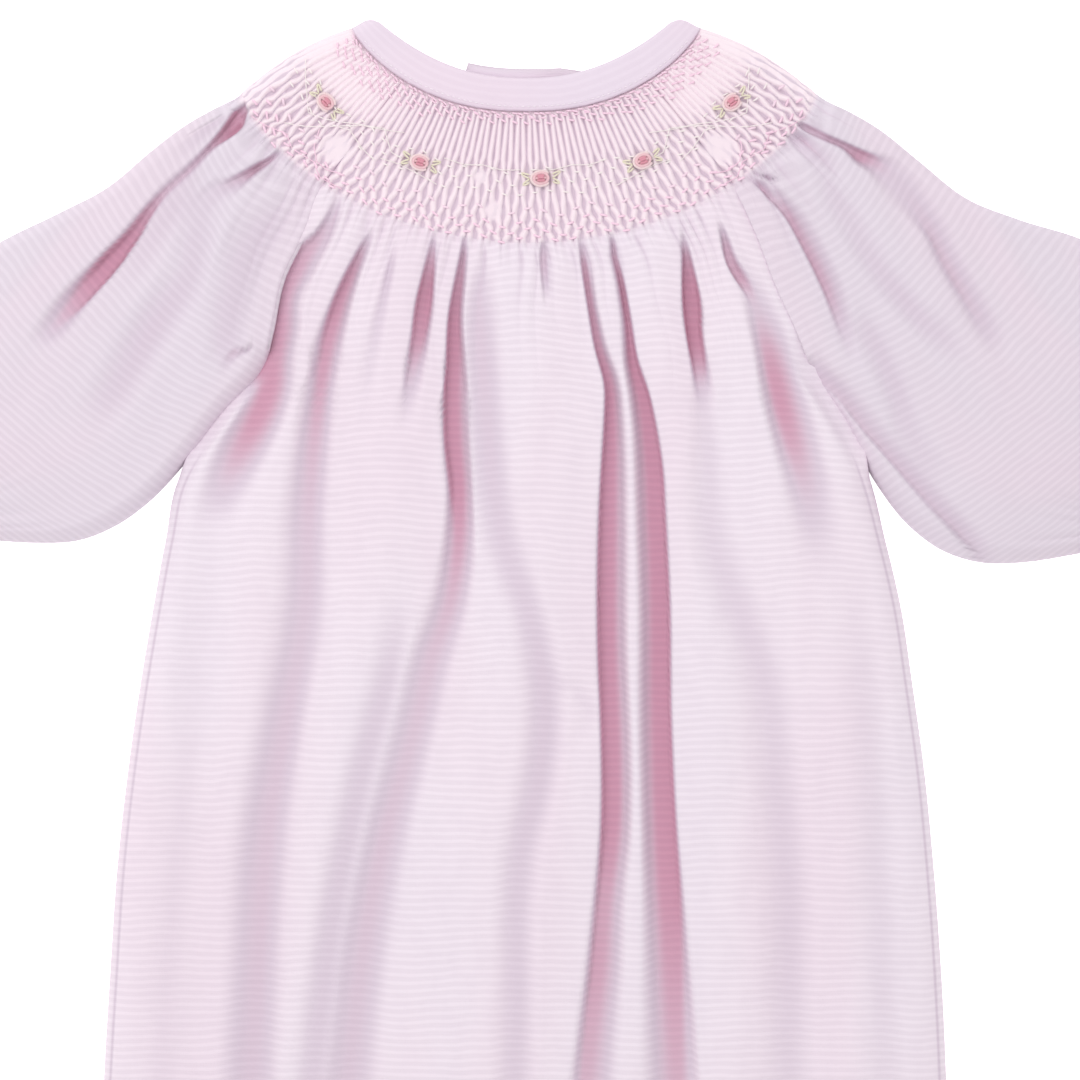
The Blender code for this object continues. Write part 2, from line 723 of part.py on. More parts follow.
def band_point(share, across, back=False):
    """x and drop on the neckband, round it by share and across it from its top."""
    front_top = on_line("back_neck_top" if back else "neck_top", share)
    front_seam = on_line("back_neck_seam" if back else "neck_seam", share)
    return (
        mix(front_top[0], front_seam[0], across),
        mix(front_top[1], front_seam[1], across),
    )


def band_fold(share_in, share_tip, across, degrees, reach):
    """A point round the band's fold at a shoulder."""
    radius = BAND_HEIGHT / 2
    turn = math.radians(degrees)
    middle = band_point(share_in, across)
    tip = band_point(share_tip, across)
    out = reach / radius * math.cos(turn)
    height = radius + reach * math.sin(turn)
    return mix(middle[0], tip[0], out), mix(middle[1], tip[1], out), height


def build_neckband(material):
    """One strip round the neck, folded at the shoulders, its ends lapped behind."""
    radius = BAND_HEIGHT / 2
    span = 2.0 * NECK_TOP.half * 1.25
    tuck = radius / span
    lap_start = 0.5 + UNDERLAP / span
    lap_end = 0.5 - LAP / span
    ramp = LAP_RAMP / span
    back_left = [mix(lap_start, tuck, k / 10) for k in range(11)]
    back_right = [1.0 - tuck, 0.85, 0.75, lap_start + 2.0 * ramp, lap_start + ramp]
    back_right += [mix(lap_start + 0.4 * ramp, lap_end, k / 5) for k in range(6)]
    turns = (-60.0, -25.0, 25.0, 60.0)
    outer_rows = []
    inner_rows = []
    for across in BAND_ACROSS:
        crown = BAND_CROWN if across == 0.5 else 0.0
        outer = []
        inner = []
        for share in back_left:
            x, drop = band_point(share, across, back=True)
            outer.append((x, drop, 0.0))
            inner.append((x, drop, CLOTH))
        for turn in turns:
            outer.append(band_fold(tuck, 0.0, across, turn, radius))
            inner.append(band_fold(tuck, 0.0, across, turn, radius - BAND_CLOTH))
        for k in range(BAND_STEPS + 1):
            x, drop = band_point(mix(tuck, 1.0 - tuck, k / BAND_STEPS), across)
            outer.append((x, drop, BAND_HEIGHT + crown))
            inner.append((x, drop, BAND_HEIGHT - BAND_CLOTH))
        for turn in reversed(turns):
            outer.append(band_fold(1.0 - tuck, 1.0, across, turn, radius))
            inner.append(band_fold(1.0 - tuck, 1.0, across, turn, radius - BAND_CLOTH))
        for share in back_right:
            x, drop = band_point(share, across, back=True)
            lift = REST if share <= lap_start + 1.01 * ramp else 0.0
            outer.append((x, drop, lift))
            inner.append((x, drop, lift + CLOTH))
        count = len(outer) - 1
        outer_rows.append([(k / count, point) for k, point in enumerate(outer)])
        inner_rows.append([(k / count, point) for k, point in enumerate(inner)])
    return wall("neckband", outer_rows, inner_rows, material)


CUFF_SIDES = 7


def build_cuff(name, side, material):
    """The plain band that a sleeve is gathered into, a flattened ring."""
    frame = sleeve_frames(side)[-1]
    seam, fold = frame[1], frame[2]
    middle = ((seam[0] + fold[0]) / 2, (seam[1] + fold[1]) / 2)
    aim = LEFT_AIM if side < 0 else RIGHT_AIM
    half = math.hypot(seam[0] - fold[0], seam[1] - fold[1]) / 2
    outer_rows = []
    inner_rows = []
    for along in (SEAM_GAP, CUFF_LENGTH / 2, CUFF_LENGTH):
        ends = arm_ends(middle, aim, along, half)
        for rows, thin in ((outer_rows, 0.0), (inner_rows, CLOTH)):
            radius = CUFF_HEIGHT / 2 - thin
            flat = half - CUFF_HEIGHT / 2
            points = []
            for corner in (1.0, -1.0):
                for k in range(CUFF_SIDES):
                    turn = math.pi / 2 - math.pi * k / (CUFF_SIDES - 1)
                    reach = corner * (flat + radius * math.cos(turn))
                    height = CUFF_HEIGHT / 2 + corner * radius * math.sin(turn)
                    share = 0.5 + 0.5 * reach / half
                    x = mix(ends[0][0], ends[1][0], share)
                    drop = mix(ends[0][1], ends[1][1], share)
                    points.append((x, drop, height))
            rows.append([(k / len(points), point) for k, point in enumerate(points)])
    return wall(name, outer_rows, inner_rows, material, ring=True)


def build_rose(rose, material):
    """A small raised rose: coiled rings on a flat base, just off the pleats."""
    x, drop = yoke_point(rose.share, rose.down)
    base = YOKE_VALLEY + PLEAT_DEPTH + SEAM_GAP
    mesh = bmesh.new()
    rings = []
    for share, height in ROSE_RINGS:
        ring = []
        for k in range(ROSE_SIDES):
            turn = 2.0 * math.pi * k / ROSE_SIDES
            out_x = ROSE_HALF[0] * share * math.cos(turn)
            out_drop = ROSE_HALF[1] * share * math.sin(turn)
            ring.append(mesh.verts.new(place(x + out_x, drop + out_drop, base + height)))
        rings.append(ring)
    top = mesh.verts.new(place(x, drop, base + ROSE_TOP))
    low = mesh.verts.new(place(x, drop, base))
    for k in range(ROSE_SIDES):
        after = (k + 1) % ROSE_SIDES
        for lower, upper in zip(rings, rings[1:]):
            mesh.faces.new((lower[k], lower[after], upper[after]))
            mesh.faces.new((lower[k], upper[after], upper[k]))
        mesh.faces.new((rings[-1][k], rings[-1][after], top))
        mesh.faces.new((rings[0][after], rings[0][k], low))
    return add_object(rose.name, mesh, material)


def main():
    """Clears the scene and builds every piece."""
    for item in list(bpy.data.objects):
        bpy.data.objects.remove(item)
    cloth = cloth_material("striped_knit", CLOTH_PINK)
    band = cloth_material("band_knit", BAND_PINK)
    thread = cloth_material("rose_thread", ROSE_PINK)
    build_front(cloth)
    build_back(cloth)
    build_sleeve("sleeve_left", -1, LEFT_ARM_FOLDS, cloth)
    build_sleeve("sleeve_right", 1, RIGHT_ARM_FOLDS, cloth)
    build_neckband(band)
    build_cuff("cuff_left", -1, band)
    build_cuff("cuff_right", 1, band)
    for rose in ROSES:
        build_rose(rose, thread)


main()
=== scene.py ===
"""The looks of a baby's smocked dress, laid flat: cloth, smocking, roses and light.

Sizes are in millimetres until place() turns them into metres. x runs across the
dress from its middle line, drop runs down from the tips of the neck, and height
is measured up from the surface that the dress lies on.
"""

import math
from collections import namedtuple

import bmesh
import bpy
import numpy as np
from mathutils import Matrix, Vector


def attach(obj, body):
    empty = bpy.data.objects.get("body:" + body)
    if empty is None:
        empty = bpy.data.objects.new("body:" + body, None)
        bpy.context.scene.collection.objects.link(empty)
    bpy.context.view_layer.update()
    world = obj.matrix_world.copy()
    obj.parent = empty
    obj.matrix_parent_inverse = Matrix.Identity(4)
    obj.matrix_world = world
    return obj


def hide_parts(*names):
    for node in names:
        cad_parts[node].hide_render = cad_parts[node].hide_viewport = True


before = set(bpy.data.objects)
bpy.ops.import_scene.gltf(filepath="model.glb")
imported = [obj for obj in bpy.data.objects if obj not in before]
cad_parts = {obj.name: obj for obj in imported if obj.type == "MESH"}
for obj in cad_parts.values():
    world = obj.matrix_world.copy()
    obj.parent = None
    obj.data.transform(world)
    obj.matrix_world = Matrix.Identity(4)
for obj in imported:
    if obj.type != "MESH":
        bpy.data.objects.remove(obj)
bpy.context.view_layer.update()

MM = 0.001

# The same driving sizes as the part's solids, in millimetres
MIDDLE_TO_CENTRE = -4.2
TIPS_TO_CENTRE = 230.0
CLOTH = 1.0
REST = 1.5                     # height of what lies on the back panel
SLEEVE_REST = 0.6              # a sleeve's lower edge reaches into its back half
BAND_HEIGHT = 9.2
LAP = 24.0
UNDERLAP = 8.0
PLEATS = 76
SLEEVE_PLEATS = 14
PLEAT_DEPTH = 1.7
YOKE_UNDERSIDE = 5.8
YOKE_WALL = 1.2
YOKE_VALLEY = 7.9
YOKE_START = -0.02
SHOULDER_RISE = 3.0
LENGTH = 460.0
SIDE_ROLL = 10.0
CROWN_RATE = 0.06
CROWN_MOST = 2.6
CUFF_LENGTH = 12.0
CUFF_HEIGHT = 7.4

Arc = namedtuple("Arc", "middle half top_drop depth power fullness")
ARCS = {
    "neck_top": Arc(0.0, 55.3, 0.0, 22.7, 2.2, 1.0),
    "neck_seam": Arc(0.4, 63.0, 4.3, 30.3, 2.3, 0.8),
    "smock_edge": Arc(1.2, 104.0, 28.0, 53.4, 2.0, 0.73),
    "back_neck_top": Arc(0.0, 55.3, 0.0, 19.0, 2.2, 1.0),
    "back_neck_seam": Arc(0.4, 63.0, 4.3, 27.0, 2.3, 0.8),
}

Raglan = namedtuple(
    "Raglan",
    "left_x left_drop right_x right_drop sag height "
    "left_fold_x left_fold_drop right_fold_x right_fold_drop bow",
)
RAGLAN = (
    Raglan(-78.8, 77.4, 83.2, 77.4, 13.0, 9.3, -113.0, 33.5, 117.0, 34.2, 3.0),
    Raglan(-86.5, 93.0, 90.0, 95.4, 11.0, 9.8, -122.0, 38.8, 127.8, 40.7, 2.0),
    Raglan(-91.3, 114.0, 98.0, 113.0, 9.0, 10.0, -136.0, 49.5, 142.2, 52.2, 1.0),
)
UNDERARM = Raglan(-94.7, 125.6, 104.4, 127.8, 8.0, 10.0, -148.0, 59.8, 157.2, 64.4, 0.0)

Row = namedtuple("Row", "left_x left_drop right_x right_drop sag height")
SIDE_ROWS = (
    Row(-93.2, 126.5, 103.0, 128.6, 8.0, 10.0),
    Row(-105.3, 139.0, 110.6, 139.5, 7.0, 10.2),
    Row(-116.3, 153.0, 118.9, 153.5, 6.0, 10.3),
    Row(-124.4, 166.0, 123.9, 166.0, 5.0, 10.4),
    Row(-130.0, 189.0, 130.3, 189.0, 4.0, 10.5),
    Row(-134.6, 214.0, 136.1, 214.0, 3.5, 10.5),
    Row(-139.0, 240.0, 140.0, 240.0, 3.0, 10.4),
    Row(-143.6, 272.0, 144.4, 272.0, 2.5, 10.3),
    Row(-147.6, 308.0, 147.9, 308.0, 2.0, 10.2),
    Row(-150.1, 345.0, 150.6, 345.0, 1.5, 10.0),
    Row(-152.4, 384.0, 152.4, 384.0, 1.0, 10.0),
    Row(-153.8, 422.0, 153.2, 422.0, 0.5, 9.8),
    Row(-155.0, LENGTH, 153.4, LENGTH, 0.0, 9.6),
)

# Folds of the cloth. Each is a line of places along it: x, drop, how wide its floor
# is, how deep it is, and how far its sides reach to the viewer's left and right
FRONT_FOLDS = (
    (
        (-66, 64, 1, 0, 2, 4), (-72, 76, 2, 3, 1.5, 5), (-80.7, 88.5, 4, 4.5, 1.5, 6),
        (-87, 102, 4, 4.8, 2, 6), (-88.5, 112.6, 5, 5.2, 2, 7), (-91, 123, 6, 5.7, 3, 7),
        (-92.5, 133, 7, 6.0, 4, 8), (-98, 147, 7, 5.6, 6, 9), (-104, 159, 6, 4.2, 8, 10),
        (-109, 171, 5, 2.4, 9, 10), (-115, 188, 4, 0, 9, 10),
    ),
    (
        (-54, 76, 0.4, 0, 1.5, 2), (-58, 83, 1.2, 3, 1.5, 3), (-62, 91, 2, 4.6, 1.6, 3.4),
        (-67, 103, 3, 5.3, 2, 4.5), (-71, 117, 4, 5.3, 3, 5), (-74, 135, 4, 4.8, 4, 5),
        (-76, 153, 4, 3.9, 6, 6), (-78, 180, 4, 3, 9, 7), (-79, 211, 4, 2.6, 10, 9),
        (-86, 254, 4, 2.8, 12, 8), (-93, 297, 5, 2.9, 13, 9), (-96, 340, 5, 2.9, 13, 9),
        (-98, 378, 5, 2.7, 14, 10), (-102, 464, 5, 2.2, 15, 12),
    ),
    (
        (-46, 81, 0.5, 0, 2, 2), (-48, 89, 1, 1.7, 2.5, 2.5), (-51, 103, 1, 1.8, 3, 3),
        (-54, 117, 1, 1.5, 4, 4), (-57, 135, 1, 0.8, 5, 5), (-60, 160, 1, 0, 6, 6),
    ),
    (
        (-32.4, 77, 0.4, 0, 1, 1), (-33.4, 84, 1.2, 3, 1.4, 2), (-35, 94, 3, 5, 1.3, 2.3),
        (-36.4, 103, 4.5, 5.6, 1.3, 2.5),
        (-38.5, 117, 4, 5, 1.5, 3), (-41, 130, 3, 3, 2, 4), (-43, 145, 1.5, 0.8, 3, 5),
        (-44.5, 155, 1, 0, 4, 5),
    ),
    (
        (-21.6, 77, 0.4, 0, 1, 1), (-22.4, 85, 0.8, 3, 1.2, 2), (-24, 95, 1.6, 4.5, 1.2, 3),
        (-25.6, 108, 3, 5.5, 1.2, 3), (-25.7, 126, 4.6, 6.3, 1.3, 3.5), (-26, 139, 6, 6.5, 1.3, 4),
        (-25.6, 153, 6, 6.5, 1.5, 4), (-24, 171, 5, 6, 2.5, 4), (-24, 189, 4.5, 5, 4, 5),
        (-27, 211, 4, 3.8, 6, 7), (-34, 232, 4, 3.2, 8, 9), (-39, 254, 4, 3.0, 9, 9),
        (-51, 297, 4, 3.0, 8, 11), (-59, 340, 4, 2.9, 9, 12), (-63, 378, 4, 2.7, 10, 12),
        (-70, 464, 4, 2.2, 12, 13),
    ),
    (
        (-43, 200, 2, 0, 7, 7), (-48, 232, 3, 1.6, 7, 7), (-59, 275, 3, 1.9, 8, 8),
        (-68, 319, 3, 2, 8, 8), (-74, 362, 3, 2, 8, 8), (-84, 464, 3, 1.2, 9, 9),
    ),
    (
        (-15, 82, 1, 0, 4, 4), (-16, 103, 3, 2, 6, 7), (-15, 130, 4, 2.4, 7, 8),
        (-13, 155, 4, 2.4, 8, 8), (-8, 189, 5, 2, 8, 8), (0, 211, 4, 2, 8, 8),
        (7, 245, 4, 2.2, 8, 8), (5, 275, 4, 2.2, 8, 8), (-1, 300, 4, 2, 8, 8),
        (-3, 362, 4, 1.8, 8, 8), (-6, 464, 4, 1.4, 10, 10),
    ),
    (
        (7, 79, 0.5, 0, 1, 1), (6.5, 85, 1.5, 2.6, 1, 2), (7, 95, 1.5, 2.4, 1.2, 2.5),
        (8, 105, 1, 0, 1.5, 3),
    ),
    (
        (19.5, 79, 0.5, 0, 1, 1), (20.5, 85, 1, 2.8, 1.2, 2), (23.5, 105, 1, 4.5, 1.2, 3),
        (26.6, 121, 1.5, 5, 1.2, 3.5), (30, 132, 2, 5.6, 1.3, 4), (30.8, 146, 3.6, 6, 1.3, 4),
        (30.7, 163, 5.4, 6.4, 1.4, 4), (30.4, 181, 6.5, 6.6, 1.5, 4), (30.4, 232, 7, 6.6, 1.6, 4),
        (31.4, 254, 7, 6.4, 1.8, 4), (31.4, 297, 7, 5.8, 2, 4), (29, 319, 6, 4.8, 2.4, 5),
        (27, 340, 6, 4.9, 2.6, 7), (23.5, 370, 6, 4.3, 3, 9), (16, 464, 6, 3.2, 5, 14),
    ),
    (
        (31.3, 77, 0.5, 0, 1, 1), (31.7, 84, 1, 3, 2, 1.1), (34.5, 95, 1, 4.5, 2.5, 1.1),
        (37.5, 112, 1.2, 5.2, 3, 1.2), (39, 124, 2, 5.8, 3.5, 1.2), (42.2, 136, 3.6, 6.4, 4, 1.3),
        (44.5, 150, 5, 6.8, 4, 1.4), (46, 163, 6, 7, 4.5, 1.4), (46.8, 181, 6.5, 7.2, 4.5, 1.5),
        (48, 211, 7, 7.2, 4.5, 1.5), (48.5, 254, 7, 7, 5, 1.6), (50, 297, 8, 6.5, 5, 2),
        (51.5, 319, 8.5, 5.9, 6, 2.4), (52.7, 340, 9, 5.3, 7, 2.8), (54.5, 370, 9, 4.6, 9, 3.6),
        (58, 464, 8, 3.4, 14, 6),
    ),
    (
        (56.4, 76, 0.4, 0, 1, 1), (57.6, 83, 1.2, 3, 1.3, 1.6), (58.8, 93, 3.6, 5.2, 1.2, 1.3),
        (60, 104, 5.6, 6, 1.2, 1.5), (61, 116, 4.5, 6, 1.3, 1.6), (62.7, 126, 4, 4.4, 1.8, 2.4),
        (64, 137, 3, 2, 3, 4), (66, 160, 4, 1.3, 6, 7), (68, 189, 5, 1.4, 8, 9),
        (76, 211, 6, 1.5, 9, 9), (87, 240, 6, 1.5, 9, 9), (91, 275, 6, 1.5, 9, 9),
        (95, 319, 6, 1.6, 9, 9), (95, 362, 6, 1.5, 9, 9), (98, 464, 6, 1.1, 10, 10),
    ),
    (
        (70, 73, 0.5, 0, 1, 1), (71.5, 80, 1.5, 3, 1, 2), (74, 89, 2.5, 4, 1, 2.5),
        (78, 96, 2.5, 4, 1, 3), (80.5, 100, 2, 2.5, 1.2, 3), (83, 107, 1, 0, 2, 3),
    ),
    (
        (77, 84, 1, 0, 4, 7), (81, 97, 2, 1.4, 4, 8), (84.5, 110, 3.5, 3.2, 3.6, 9),
        (88, 123, 5, 5.0, 3.6, 9), (91.5, 138, 6, 5.8, 4, 9), (95.5, 152, 6, 5.0, 5, 10),
        (100, 167, 5, 3.4, 7, 11), (104, 184, 4, 1.8, 9, 12), (108, 210, 4, 0, 10, 11),
    ),
    (
        (-1, 236, 1, 0, 4, 4), (21, 246, 2, 0.9, 3, 5), (24, 252, 2, 0.9, 4, 4),
        (14, 262, 1, 0, 4, 4),
    ),
    (
        (116, 185, 3, 0, 8, 8), (121, 230, 4, 0.9, 9, 9), (126, 300, 4, 1.1, 10, 9),
        (131, 464, 4, 0.8, 10, 9),
    ),
    (
        (-112, 190, 3, 0, 8, 8), (-120, 250, 4, 0.7, 9, 9), (-128, 340, 4, 0.9, 9, 9),
        (-134, 464, 4, 0.7, 9, 9),
    ),
)

Arm = namedtuple("Arm", "along left_half right_half height")
ARM_ROWS = (
    Arm(21.6, 46.1, 47.9, 10.0),
    Arm(43.2, 51.1, 56.9, 10.0),
    Arm(64.8, 54.0, 61.2, 10.0),
    Arm(79.2, 52.9, 59.8, 9.6),
    Arm(93.6, 47.9, 52.9, 9.2),
    Arm(106.0, 38.5, 41.4, 8.4),
    Arm(117.0, 28.4, 28.4, CUFF_HEIGHT),
)
Aim = namedtuple("Aim", "side angle")
LEFT_AIM = Aim(-1, 39.0)
RIGHT_AIM = Aim(1, 40.0)

LEFT_ARM_FOLDS = (
    (
        (-99, 27, 1, 0, 1.5, 1.5), (-101.5, 33, 3, 4, 1.5, 1.5), (-104.8, 39.4, 4.5, 5.5, 1.5, 1.5),
        (-108.5, 43.2, 3, 5, 1.5, 1.5), (-111.7, 45.9, 1.6, 4, 1.5, 2), (-120.6, 55.1, 0.8, 3, 2.5, 3),
        (-130.3, 64.1, 1, 3.4, 2.5, 3), (-135.8, 71.1, 2.5, 4.5, 2, 2), (-141.3, 79.3, 4, 5.5, 2, 1.5),
        (-149.9, 89.6, 6, 6, 2, 1.6), (-160, 101, 6, 5, 3, 2), (-169, 112, 4, 3, 4, 4),
        (-176, 121, 2, 0, 4, 4),
    ),
    (
        (-86.5, 47.5, 0.5, 0, 1.2, 1.5), (-90, 50.5, 1, 2.6, 1.2, 2), (-97.9, 55.9, 1.8, 3.8, 1.2, 2.5),
        (-104.8, 60, 2, 2.8, 2, 4), (-110.3, 63.4, 3, 1.8, 4, 5), (-116, 70, 5, 1.4, 6, 6),
        (-119, 82, 6, 1.5, 6, 7), (-121, 94, 6, 1.6, 7, 7), (-127, 103, 6, 1.9, 8, 8),
        (-134, 113, 6, 2.1, 8, 8), (-142, 126, 6, 1.9, 8, 8), (-150, 139, 5, 1.5, 8, 8),
        (-159, 150, 4, 0, 8, 8),
    ),
    (
        (-108, 28, 1, 0, 3, 3), (-111, 33, 2, 1.5, 4, 4), (-116, 41.4, 3, 1.5, 5, 5),
        (-121, 48, 2, 0.9, 5, 5), (-127, 55, 1, 0, 5, 5),
    ),
    (
        (-113, 52, 1, 0, 4, 5), (-120, 60, 3, 1.2, 5, 6), (-126, 68, 4, 1.5, 6, 7),
        (-133, 79, 4, 1.4, 6, 7), (-140, 91, 4, 1.1, 7, 7), (-148, 103, 3, 0, 6, 6),
    ),
    (
        (-83, 64, 2, 0, 5, 5), (-91, 74, 6, 1.6, 7, 7), (-98, 84, 8, 1.8, 9, 8),
        (-103, 97, 8, 1.8, 9, 8), (-106, 110, 6, 1.8, 8, 7), (-108, 121, 4, 1.5, 6, 6),
        (-109, 130, 3, 0, 5, 5),
    ),
    (
        (-97, 118, 0.5, 0, 1, 1.5), (-100, 120.5, 1, 1.8, 1.2, 1.5), (-104, 121.5, 2, 2.2, 1.6, 1.5),
        (-107, 125, 1.5, 1.3, 2, 2), (-110, 131, 1, 0, 2, 2),
    ),
)
RIGHT_ARM_FOLDS = (
    (
        (96, 37, 0.5, 0, 1.5, 1.5), (99.5, 39.5, 1.5, 2.6, 1.5, 1.5), (106.8, 43.5, 1.5, 3, 1.6, 1.4),
        (115.7, 47.3, 1.5, 3.6, 2, 1.2), (120.6, 50.4, 3, 4.6, 3, 1.2), (126, 53, 3, 3.6, 4, 2.5),
        (131, 57, 4, 2.3, 6, 6), (137.1, 63.5, 4, 2.2, 7, 7), (142, 71, 2.4, 2.5, 5, 7),
        (145.3, 77.3, 1.6, 2.9, 3, 8), (150.1, 87.6, 1.4, 3.1, 3, 8), (157.7, 100.7, 1.6, 2.9, 3, 8),
        (166, 113, 2, 2, 5, 7), (173, 124, 2, 0, 5, 6),
    ),
    (
        (92, 41, 1, 0, 3, 3), (97, 44, 2, 2.1, 3, 3), (103, 48, 3, 2.1, 4, 4),
        (109, 53, 2, 1.3, 5, 5),
        (116, 59, 1, 0, 5, 5),
    ),
    (
        (80, 58, 0.5, 0, 1.2, 1.5), (84, 61, 0.8, 2.4, 1.3, 3), (89, 66.2, 1, 3.2, 1.3, 5),
        (94.3, 72.4, 1, 3.7, 1.4, 7), (99.9, 82.1, 1, 3.8, 1.5, 8), (104.7, 91.5, 1, 3.9, 1.6, 8),
        (109, 101, 1, 3.6, 1.8, 8), (112, 108.5, 1, 2.8, 2.4, 7), (115.5, 117, 1, 1.5, 3, 6),
        (119, 127, 1, 0, 3, 5),
    ),
    (
        (81, 56, 0.5, 0, 1, 1), (85, 57.8, 0.8, 1.8, 1, 1.1), (89, 58.8, 0.8, 1.7, 1, 1.2),
        (92.5, 59.4, 0.5, 0, 1, 1.2),
    ),
    (
        (105, 53, 1, 0, 4, 4), (110, 64, 2, 1.3, 5, 6), (118, 77, 3, 1.4, 5, 7),
        (126, 89.6, 3, 1.6, 5, 6), (134, 100, 3, 1.8, 5, 6), (142, 109, 3, 1.7, 5, 6),
        (152, 118, 3, 1.3, 6, 6), (162, 128, 2, 0, 6, 6),
    ),
    (
        (118, 104, 1, 0, 5, 5), (123, 113, 3, 1.4, 6, 6), (128, 122, 3, 1.7, 6, 6),
        (134.5, 137, 3, 1.7, 6, 6), (139, 150, 3, 1.4, 7, 6), (146, 162, 3, 1.1, 7, 7),
        (156, 174, 2, 0, 7, 7),
    ),
    (
        (101, 121, 0.5, 0, 1, 1), (105.5, 128.5, 0.5, 2.2, 1.2, 5),
        (113.8, 137.9, 0.5, 2.7, 1.3, 8), (122.8, 150, 0.5, 2.8, 1.3, 9),
        (132.8, 161.5, 0.5, 2.7, 1.3, 9), (146.2, 176.8, 0.5, 2.6, 1.4, 9),
        (160.2, 191.2, 0.5, 2.4, 1.6, 9), (172, 203, 1, 0, 2, 7),
    ),
)

Rose = namedtuple("Rose", "name share down turn")
ROSES = (
    Rose("rose_1", 0.100, 0.51, 48.0),
    Rose("rose_2", 0.303, 0.53, 16.0),
    Rose("rose_3", 0.525, 0.52, -3.0),
    Rose("rose_4", 0.713, 0.54, -20.0),
    Rose("rose_5", 0.905, 0.53, -35.0),
)

# How finely the cloth is built
PLEAT_COLUMNS = 8
YOKE_ROWS = 66
SKIRT_ROWS = 110
ARM_STEPS = 78
TURN_COLUMNS = 48
BACK_COLUMNS = 24
EDGE_COLUMNS = 12
EVERY = (3, 4)                 # which rows and columns a sheet's underside keeps


def mix(first, last, share):
    """The value that lies a share of the way from first to last."""
    return first + (last - first) * share


def ease(low, high, value):
    """0 below low and 1 above high, with a smooth rise between them."""
    share = np.clip((value - low) / (high - low), 0.0, 1.0)
    return share * share * (3.0 - 2.0 * share)


def round_rise(share, least=0.0):
    """0 to 1 as a quarter circle rises, steep at first and level at the end."""
    return np.sqrt(np.clip(1.0 - (1.0 - np.clip(share, 0.0, 1.0)) ** 2, least, 1.0))


def run_length(steps):
    """How far along a line each of its points lies, from the steps between them."""
    return np.concatenate(([0.0], np.cumsum(steps)))


def place(x, drop, height):
    """Points in metres from their places on the laid-out dress."""
    x, drop, height = np.broadcast_arrays(x, drop, height)
    return np.stack(
        ((x + MIDDLE_TO_CENTRE) * MM, (TIPS_TO_CENTRE - drop) * MM, height * MM), axis=-1
    )


def arc_line(arc, steps=240):
    """Points along an arc with the share of its length that each has reached."""
    across = np.sin(np.linspace(-math.pi / 2, math.pi / 2, steps + 1))
    x = arc.middle + arc.half * across
    fall = np.clip(1.0 - np.abs(across) ** arc.power, 0.0, 1.0) ** arc.fullness
    drop = arc.top_drop + arc.depth * fall
    reach = run_length(np.hypot(np.diff(x), np.diff(drop)))
    return reach / reach[-1], x, drop


LINES = {name: arc_line(arc) for name, arc in ARCS.items()}


def on_line(name, share):
    """x and drop at a share of a line's length, from its left end."""
    shares, x, drop = LINES[name]
    return np.interp(share, shares, x), np.interp(share, shares, drop)


def yoke_point(share, down, seam="neck_seam"):
    """x and drop on the smocked yoke, round it by share and down it by down."""
    top_x, top_drop = on_line(seam, share)
    low_x, low_drop = on_line("smock_edge", share)
    shoulder = np.abs(2.0 * share - 1.0) ** 8
    rise = SHOULDER_RISE * np.sin(math.pi * np.clip(down, 0.0, 1.0)) * shoulder
    return mix(top_x, low_x, down), mix(top_drop, low_drop, down) - rise


def smooth_between(stations, values, wanted):
    """A smooth curve through values at stations, read at the wanted stations."""
    stations = np.asarray(stations, float)
    values = np.asarray(values, float)
    wanted = np.asarray(wanted, float)
    slopes = np.gradient(values, stations, axis=0)
    low = np.clip(np.searchsorted(stations, wanted, side="right") - 1, 0, len(stations) - 2)
    span = stations[low + 1] - stations[low]
    f = np.clip((wanted - stations[low]) / span, 0.0, 1.0)
    shape = (-1,) + (1,) * (values.ndim - 1)
    f = f.reshape(shape)
    span = span.reshape(shape)
    return (
        (2 * f**3 - 3 * f**2 + 1) * values[low]
        + (f**3 - 2 * f**2 + f) * span * slopes[low]
        + (3 * f**2 - 2 * f**3) * values[low + 1]
        + (f**3 - f**2) * span * slopes[low + 1]
    )


def wander(seed, places, size):
    """A smooth uneven line between -1 and 1, which turns about once every size."""
    total = np.zeros_like(np.asarray(places, float))
    for k in range(4):
        turn = 2.0 * math.pi * places / (size * (0.6 + 0.37 * k))
        total = total + np.sin(turn + seed * (1.7 + k) + 2.1 * k)
    return total / 4.0


# Smocking. A stitch draws two neighbouring pleats together, and the next row's
# stitches draw the other pairs, so the pleats open into cells between the rows.
# Each row of stitches: how far down it lies, which pairs it takes, how far it
# draws them, how deep and how long the scallops are that it follows
Stitches = namedtuple("Stitches", "name down odd pull scallop period thread")
STITCH_ROWS = (
    Stitches("cable_top", 0.020, 0, 0.16, 0.0, 8.0, "pink"),
    Stitches("cable_low", 0.052, 1, 0.16, 0.006, 8.0, "pink"),
    Stitches("plain_upper", 0.20, 1, 0.03, 0.0, 8.0, ""),
    Stitches("plain_lower", 0.37, 0, 0.06, 0.0, 8.0, ""),
    Stitches("trellis_upper", 0.465, 1, 0.30, 0.030, 9.0, "cream"),
    Stitches("trellis_middle", 0.545, 0, 0.32, 0.030, 9.0, "cream"),
    Stitches("trellis_lower", 0.635, 1, 0.30, 0.022, 9.0, "cream"),
    Stitches("wave_upper", 0.775, 0, 0.32, 0.035, 7.0, "pale"),
    Stitches("wave_middle", 0.865, 1, 0.33, 0.035, 7.0, "pink"),
    Stitches("wave_lower", 0.930, 0, 0.32, 0.035, 7.0, "pink"),
    Stitches("wave_edge", 0.985, 1, 0.30, 0.030, 7.0, "pink"),
)


